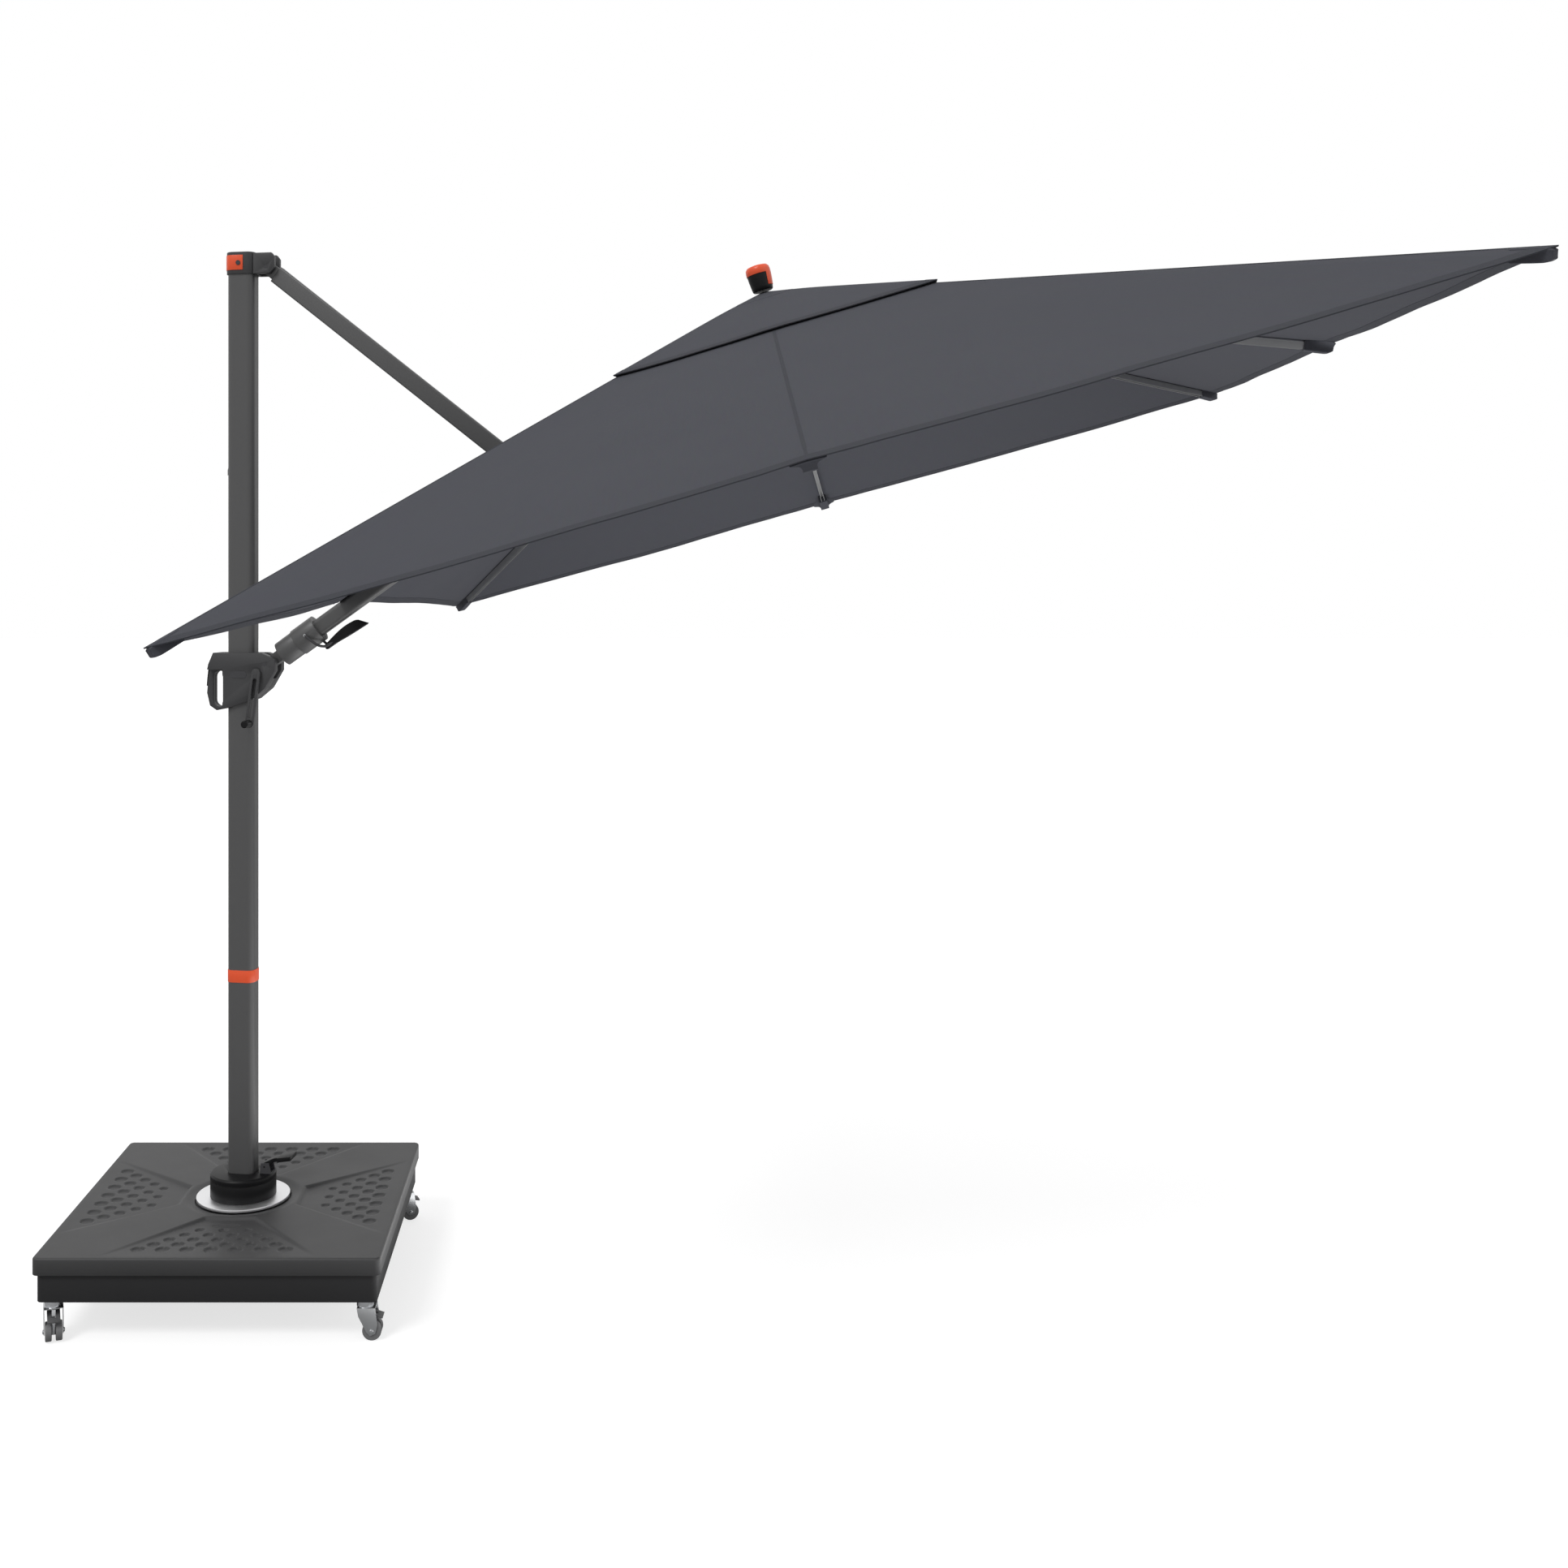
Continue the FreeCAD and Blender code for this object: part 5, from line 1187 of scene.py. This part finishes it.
@dataclass
class SwivelLever:
    """The lever that locks the swivel: a pin, a bent rod on each side and a soft grip under the boom."""

    pivot: float = 0.153
    half: float = 0.046
    drop: float = 0.060
    rod: float = 0.004
    grip_start: float = 0.172
    grip_length: float = 0.136
    grip_width: float = 0.030
    grip_height: float = 0.031
    grip_neck: float = 0.48
    grip_bow: float = 0.004
    grip_slant: float = 0.012
    pin_proud: float = 0.003

    def build(self) -> None:
        """Make the rods and the grip."""
        boom = LAYOUT.boom()
        bend = self.pivot + 0.020
        points = [(self.pivot, -self.half, 0), (self.pivot + 0.003, -self.half, -0.012),
                  (bend - 0.008, -self.half, -0.040), (bend - 0.002, -self.half * 0.8, -0.052),
                  (bend + 0.006, -0.012, -self.drop), (bend + 0.030, -0.010, -self.drop)]
        back = [(x, -y, z) for x, y, z in reversed(points)]
        for name, line in (("near", points), ("far", back)):
            rod = tube(line, self.rod)
            place(rod, boom)
            smooth(rod, 60)
            hand_over(rod, "lever_rod_" + name, "swivel_lever", Finishes.STEEL,
                      ["swivel_lever"] if name == "near" else ())
        end = self.half + self.pin_proud
        pin = tube([(self.pivot, y, 0) for y in (-end, 0, end)], self.rod)
        place(pin, boom)
        hand_over(pin, "lever_pin", "swivel_lever", Finishes.ZINC)
        grip = block(self.grip_length, self.grip_width, self.grip_height, 6)
        for vertex in grip.data.vertices:
            along = vertex.co.x / self.grip_length + 0.5
            vertex.co.y *= 0.78 + 0.22 * math.sin(math.pi * min(1.0, along * 1.15))
            vertex.co.z *= self.grip_neck + (1 - self.grip_neck) * smoothstep(along / 0.7)
            vertex.co.x -= self.grip_slant * vertex.co.z / 0.015 * smoothstep((along - 0.6) / 0.4)
            vertex.co.z += self.grip_bow * math.sin(math.pi * along)
        apply_modifier(grip, "SUBSURF", levels=2, render_levels=2)
        centre = (self.grip_start + self.grip_length / 2, 0, -self.drop)
        place(grip, boom @ Matrix.Translation(centre))
        smooth(grip, 60)
        hand_over(grip, "lever_grip", "swivel_lever", Finishes.FOAM)


# ---------------------------------------------------------------- hardware

@dataclass
class Hardware:
    """The CAD nodes that keep their own shape, dressed, and with their sharp edges rounded where they show."""

    wheel_edge: float = 1.0
    fork_edge: float = 0.5
    brake_edge: float = 1.0
    cheek_gap: float = 0.0240
    cheek_wall: float = 0.0016
    cheek_rounding: float = 0.0004
    cheek_top: float = 0.0885
    bridge_length: float = 0.050
    bridge_ahead: float = 0.005
    bridge_wall: float = 0.0018
    bridge_rounding: float = 0.0006
    nut: tuple = ((0.0, 0.0), (0.0062, 0.0), (0.0062, 0.0016), (0.0048, 0.0032), (0.0, 0.0040))

    def build(self) -> None:
        """Dress or soften every node that no other class makes."""
        for node, finish in NODE_FINISHES.items():
            if node in BEVELS:
                soften(node, BEVELS[node], finish)
            else:
                self.dress(node, finish)
        for name in CASTERS:
            soften("caster_wheels_" + name, self.wheel_edge, Finishes.WHEEL)
            soften("caster_fork_" + name, self.fork_edge, Finishes.ZINC)
            soften("caster_brake_" + name, self.brake_edge, Finishes.BRAKE)
            self.cheeks(name)
        for rib in filter(None, RIBS):
            self.dress("rib_" + rib, Finishes.RIB)
            self.dress("stay_" + rib, Finishes.RIB)

    def cheeks(self, name: str) -> None:
        """Make the two bright side plates of one castor's fork, with their bridge and the cap nuts of the axle.

        Args:
            name: Corner of the base at which the castor sits.
        """
        joints = {joint["name"]: joint for joint in frame["joints"]}
        centre = Vector(joints["wheel_spin_" + name]["pos_m"])
        stem = Vector(joints["caster_swivel_" + name]["pos_m"])
        forward = Vector((centre.x - stem.x, centre.y - stem.y, 0)).normalized()
        turn = Matrix((forward, forward.cross(Vector((0, 0, 1))) * -1, Vector((0, 0, 1)))).transposed().to_4x4()
        trail = (centre - stem).xy.length
        at = Matrix.Translation((stem.x, stem.y, 0)) @ turn
        pieces = []
        for side in (1, -1):
            cheek = self.cheek(trail, centre.z)
            shift = self.cheek_gap if side > 0 else -self.cheek_gap - self.cheek_wall
            place(cheek, at @ Matrix.Translation((0, shift, 0)))
            nut = lathe(self.nut, 24)
            end = Matrix.Translation((trail, side * (self.cheek_gap + self.cheek_wall), centre.z))
            place(nut, at @ end @ Matrix.Rotation(math.radians(-90 * side), 4, "X"))
            pieces += [cheek, nut]
        bridge = block(self.bridge_length, 2 * (self.cheek_gap + self.cheek_wall), self.bridge_wall)
        bridge.data.transform(Matrix.Translation((self.bridge_ahead, 0, self.cheek_top)))
        apply_modifier(bridge, "BEVEL", width=self.bridge_rounding, segments=2)
        place(bridge, at)
        deselect()
        for piece in (*pieces, bridge):
            piece.select_set(True)
        bpy.context.view_layer.objects.active = pieces[0]
        bpy.ops.object.join()
        smooth(pieces[0], 30)
        hand_over(pieces[0], "fork_cheeks_" + name, "caster_" + name, Finishes.ZINC)

    def cheek(self, trail: float, axle: float) -> bpy.types.Object:
        """Make one side plate, upright along X under the castor's stem.

        Args:
            trail: Distance of the axle from the stem.
            axle: Height of the axle.

        Returns:
            The plate.
        """
        top = self.cheek_top
        outline = [(-0.020, top), (0.030, top), (trail + 0.016, axle + 0.016), (trail + 0.010, axle - 0.006),
                   (trail - 0.004, axle - 0.012), (trail - 0.014, axle - 0.002), (-0.016, top - 0.022)]
        deselect()
        bpy.ops.mesh.primitive_plane_add(size=1)
        cheek = bpy.context.object
        with editing(cheek, whole=True) as mesh:
            bpy.ops.mesh.delete(type="VERT")
            for x, z in outline:
                mesh.verts.new((x, 0, z))
            bmesh.update_edit_mesh(cheek.data)
            bpy.ops.mesh.select_all(action="SELECT")
            bpy.ops.mesh.edge_face_add()
            bpy.ops.mesh.extrude_region_move(TRANSFORM_OT_translate={"value": (0, self.cheek_wall, 0)})
            bpy.ops.mesh.select_all(action="SELECT")
            bpy.ops.mesh.normals_make_consistent(inside=False)
        bevel(cheek, self.cheek_rounding, 25)
        return cheek

    @staticmethod
    def dress(node: str, finish: Finish) -> None:
        """Give a CAD node its finish.

        Args:
            node: Name of the CAD node.
            finish: Its finish.
        """
        obj = frame["nodes"][node]
        obj.data.materials.clear()
        obj.data.materials.append(finish.make())
        LOG.info("%s: dressed in %s", node, finish.name)


# ---------------------------------------------------------------- studio

@dataclass
class Studio:
    """The floor, the light and the camera."""

    eye: Point = (1.0787, -4.94, 2.04)
    lens: float = 38.14
    shift: tuple[float, float] = (0.1134, -0.1258)
    sky: float = 0.80
    horizon: float = 0.30
    sun: float = 1.3
    floor_glow: float = 0.72
    fill_share: float = 0.28
    key_turn: Point = (42, 0, -38)
    fill_turn: Point = (55, 0, 60)
    floor_side: float = 120.0
    floor_tone: float = 0.42
    floor_roughness: float = 0.9
    dome_top: float = 0.9
    panel_size: tuple[float, float] = (2.9, 3.0)
    panel_at: Point = (2.15, -0.25, 0.01)
    panel_power: float = 66.0

    def build(self) -> None:
        """Set up everything round the object."""
        scene = bpy.context.scene
        scene.view_settings.view_transform = "Standard"
        self.floor()
        self.world(scene)
        self.lamp("key", self.sun, self.key_turn, 20)
        self.lamp("fill", self.sun * self.fill_share, self.fill_turn, 60)
        self.panel()
        data = bpy.data.cameras.new("camera")
        data.sensor_width = 36.0
        data.lens = self.lens
        data.shift_x, data.shift_y = self.shift
        data.clip_end = 200.0
        camera = bpy.data.objects.new("camera", data)
        scene.collection.objects.link(camera)
        camera.location = self.eye
        camera.rotation_euler = (math.radians(90), 0, 0)
        scene.camera = camera

    @staticmethod
    def lamp(name: str, strength: float, turn: Point, spread: float) -> None:
        """Hang a soft sun lamp.

        Args:
            name: Name of the lamp.
            strength: Its strength.
            turn: Its rotation in degrees.
            spread: Width of the sun in degrees.
        """
        data = bpy.data.lights.new(name, "SUN")
        data.energy = strength
        data.angle = math.radians(spread)
        lamp = bpy.data.objects.new(name, data)
        bpy.context.scene.collection.objects.link(lamp)
        lamp.rotation_euler = tuple(math.radians(a) for a in turn)

    def panel(self) -> None:
        """Lay a soft light under the canopy, out of the camera's sight."""
        data = bpy.data.lights.new("panel", "AREA")
        data.shape = "RECTANGLE"
        data.size, data.size_y = self.panel_size
        data.energy = self.panel_power
        panel = bpy.data.objects.new("panel", data)
        bpy.context.scene.collection.objects.link(panel)
        panel.location = self.panel_at
        panel.rotation_euler = (math.pi, 0, 0)
        panel.visible_camera = False

    def floor(self) -> None:
        """Lay a pale floor that keeps the object's shadow."""
        deselect()
        bpy.ops.mesh.primitive_plane_add(size=self.floor_side)
        plane = bpy.context.object
        plane.name = "floor"
        material = bpy.data.materials.new("pale_floor")
        material.use_nodes = True
        nodes, links = material.node_tree.nodes, material.node_tree.links
        shader = nodes["Principled BSDF"]
        shader.inputs["Base Color"].default_value = (*[self.floor_tone] * 3, 1)
        shader.inputs["Roughness"].default_value = self.floor_roughness
        glow = add_node(nodes, "Emission")
        ray = add_node(nodes, "LightPath")
        amount = add_node(nodes, "Math")
        amount.operation = "MULTIPLY"
        amount.inputs[1].default_value = self.floor_glow
        links.new(ray.outputs["Is Camera Ray"], amount.inputs[0])
        links.new(amount.outputs["Value"], glow.inputs["Strength"])
        both = add_node(nodes, "AddShader")
        links.new(shader.outputs["BSDF"], both.inputs[0])
        links.new(glow.outputs["Emission"], both.inputs[1])
        links.new(both.outputs["Shader"], nodes["Material Output"].inputs["Surface"])
        plane.data.materials.append(material)

    def world(self, scene: bpy.types.Scene) -> None:
        """Light the object evenly and show white to the camera and to mirrors.

        Args:
            scene: Scene that gets the world.
        """
        world = bpy.data.worlds.new("studio")
        scene.world = world
        world.use_nodes = True
        nodes, links = world.node_tree.nodes, world.node_tree.links
        sky = nodes["Background"]
        sky.inputs["Color"].default_value = (1, 1, 1, 1)
        ray = add_node(nodes, "LightPath")
        seen = ray.outputs["Is Camera Ray"]
        for name in ("Is Glossy Ray", "Is Transmission Ray"):
            either = add_node(nodes, "Math")
            either.operation = "MAXIMUM"
            links.new(seen, either.inputs[0])
            links.new(ray.outputs[name], either.inputs[1])
            seen = either.outputs["Value"]
        place_node = add_node(nodes, "TexCoord")
        parts = add_node(nodes, "SeparateXYZ")
        links.new(place_node.outputs["Generated"], parts.inputs["Vector"])
        dome = add_node(nodes, "MapRange", {"From Min": 0.0, "From Max": self.dome_top, "To Min": self.horizon,
                                            "To Max": self.sky})
        links.new(parts.outputs["Z"], dome.inputs["Value"])
        level = add_node(nodes, "Mix")
        level.data_type = "FLOAT"
        level.inputs["B"].default_value = 1.0
        links.new(seen, level.inputs["Factor"])
        links.new(dome.outputs["Result"], level.inputs["A"])
        links.new(level.outputs["Result"], sky.inputs["Strength"])


def main() -> None:
    """Build every part of the parasol and the studio round it."""
    logging.basicConfig(level=logging.INFO, format="%(name)s: %(message)s")
    Hardware().build()
    BaseCover().build()
    SwivelLever().build()
    Finial().build()
    Canopy().build()
    Studio().build()


if __name__ == "__main__":
    main()
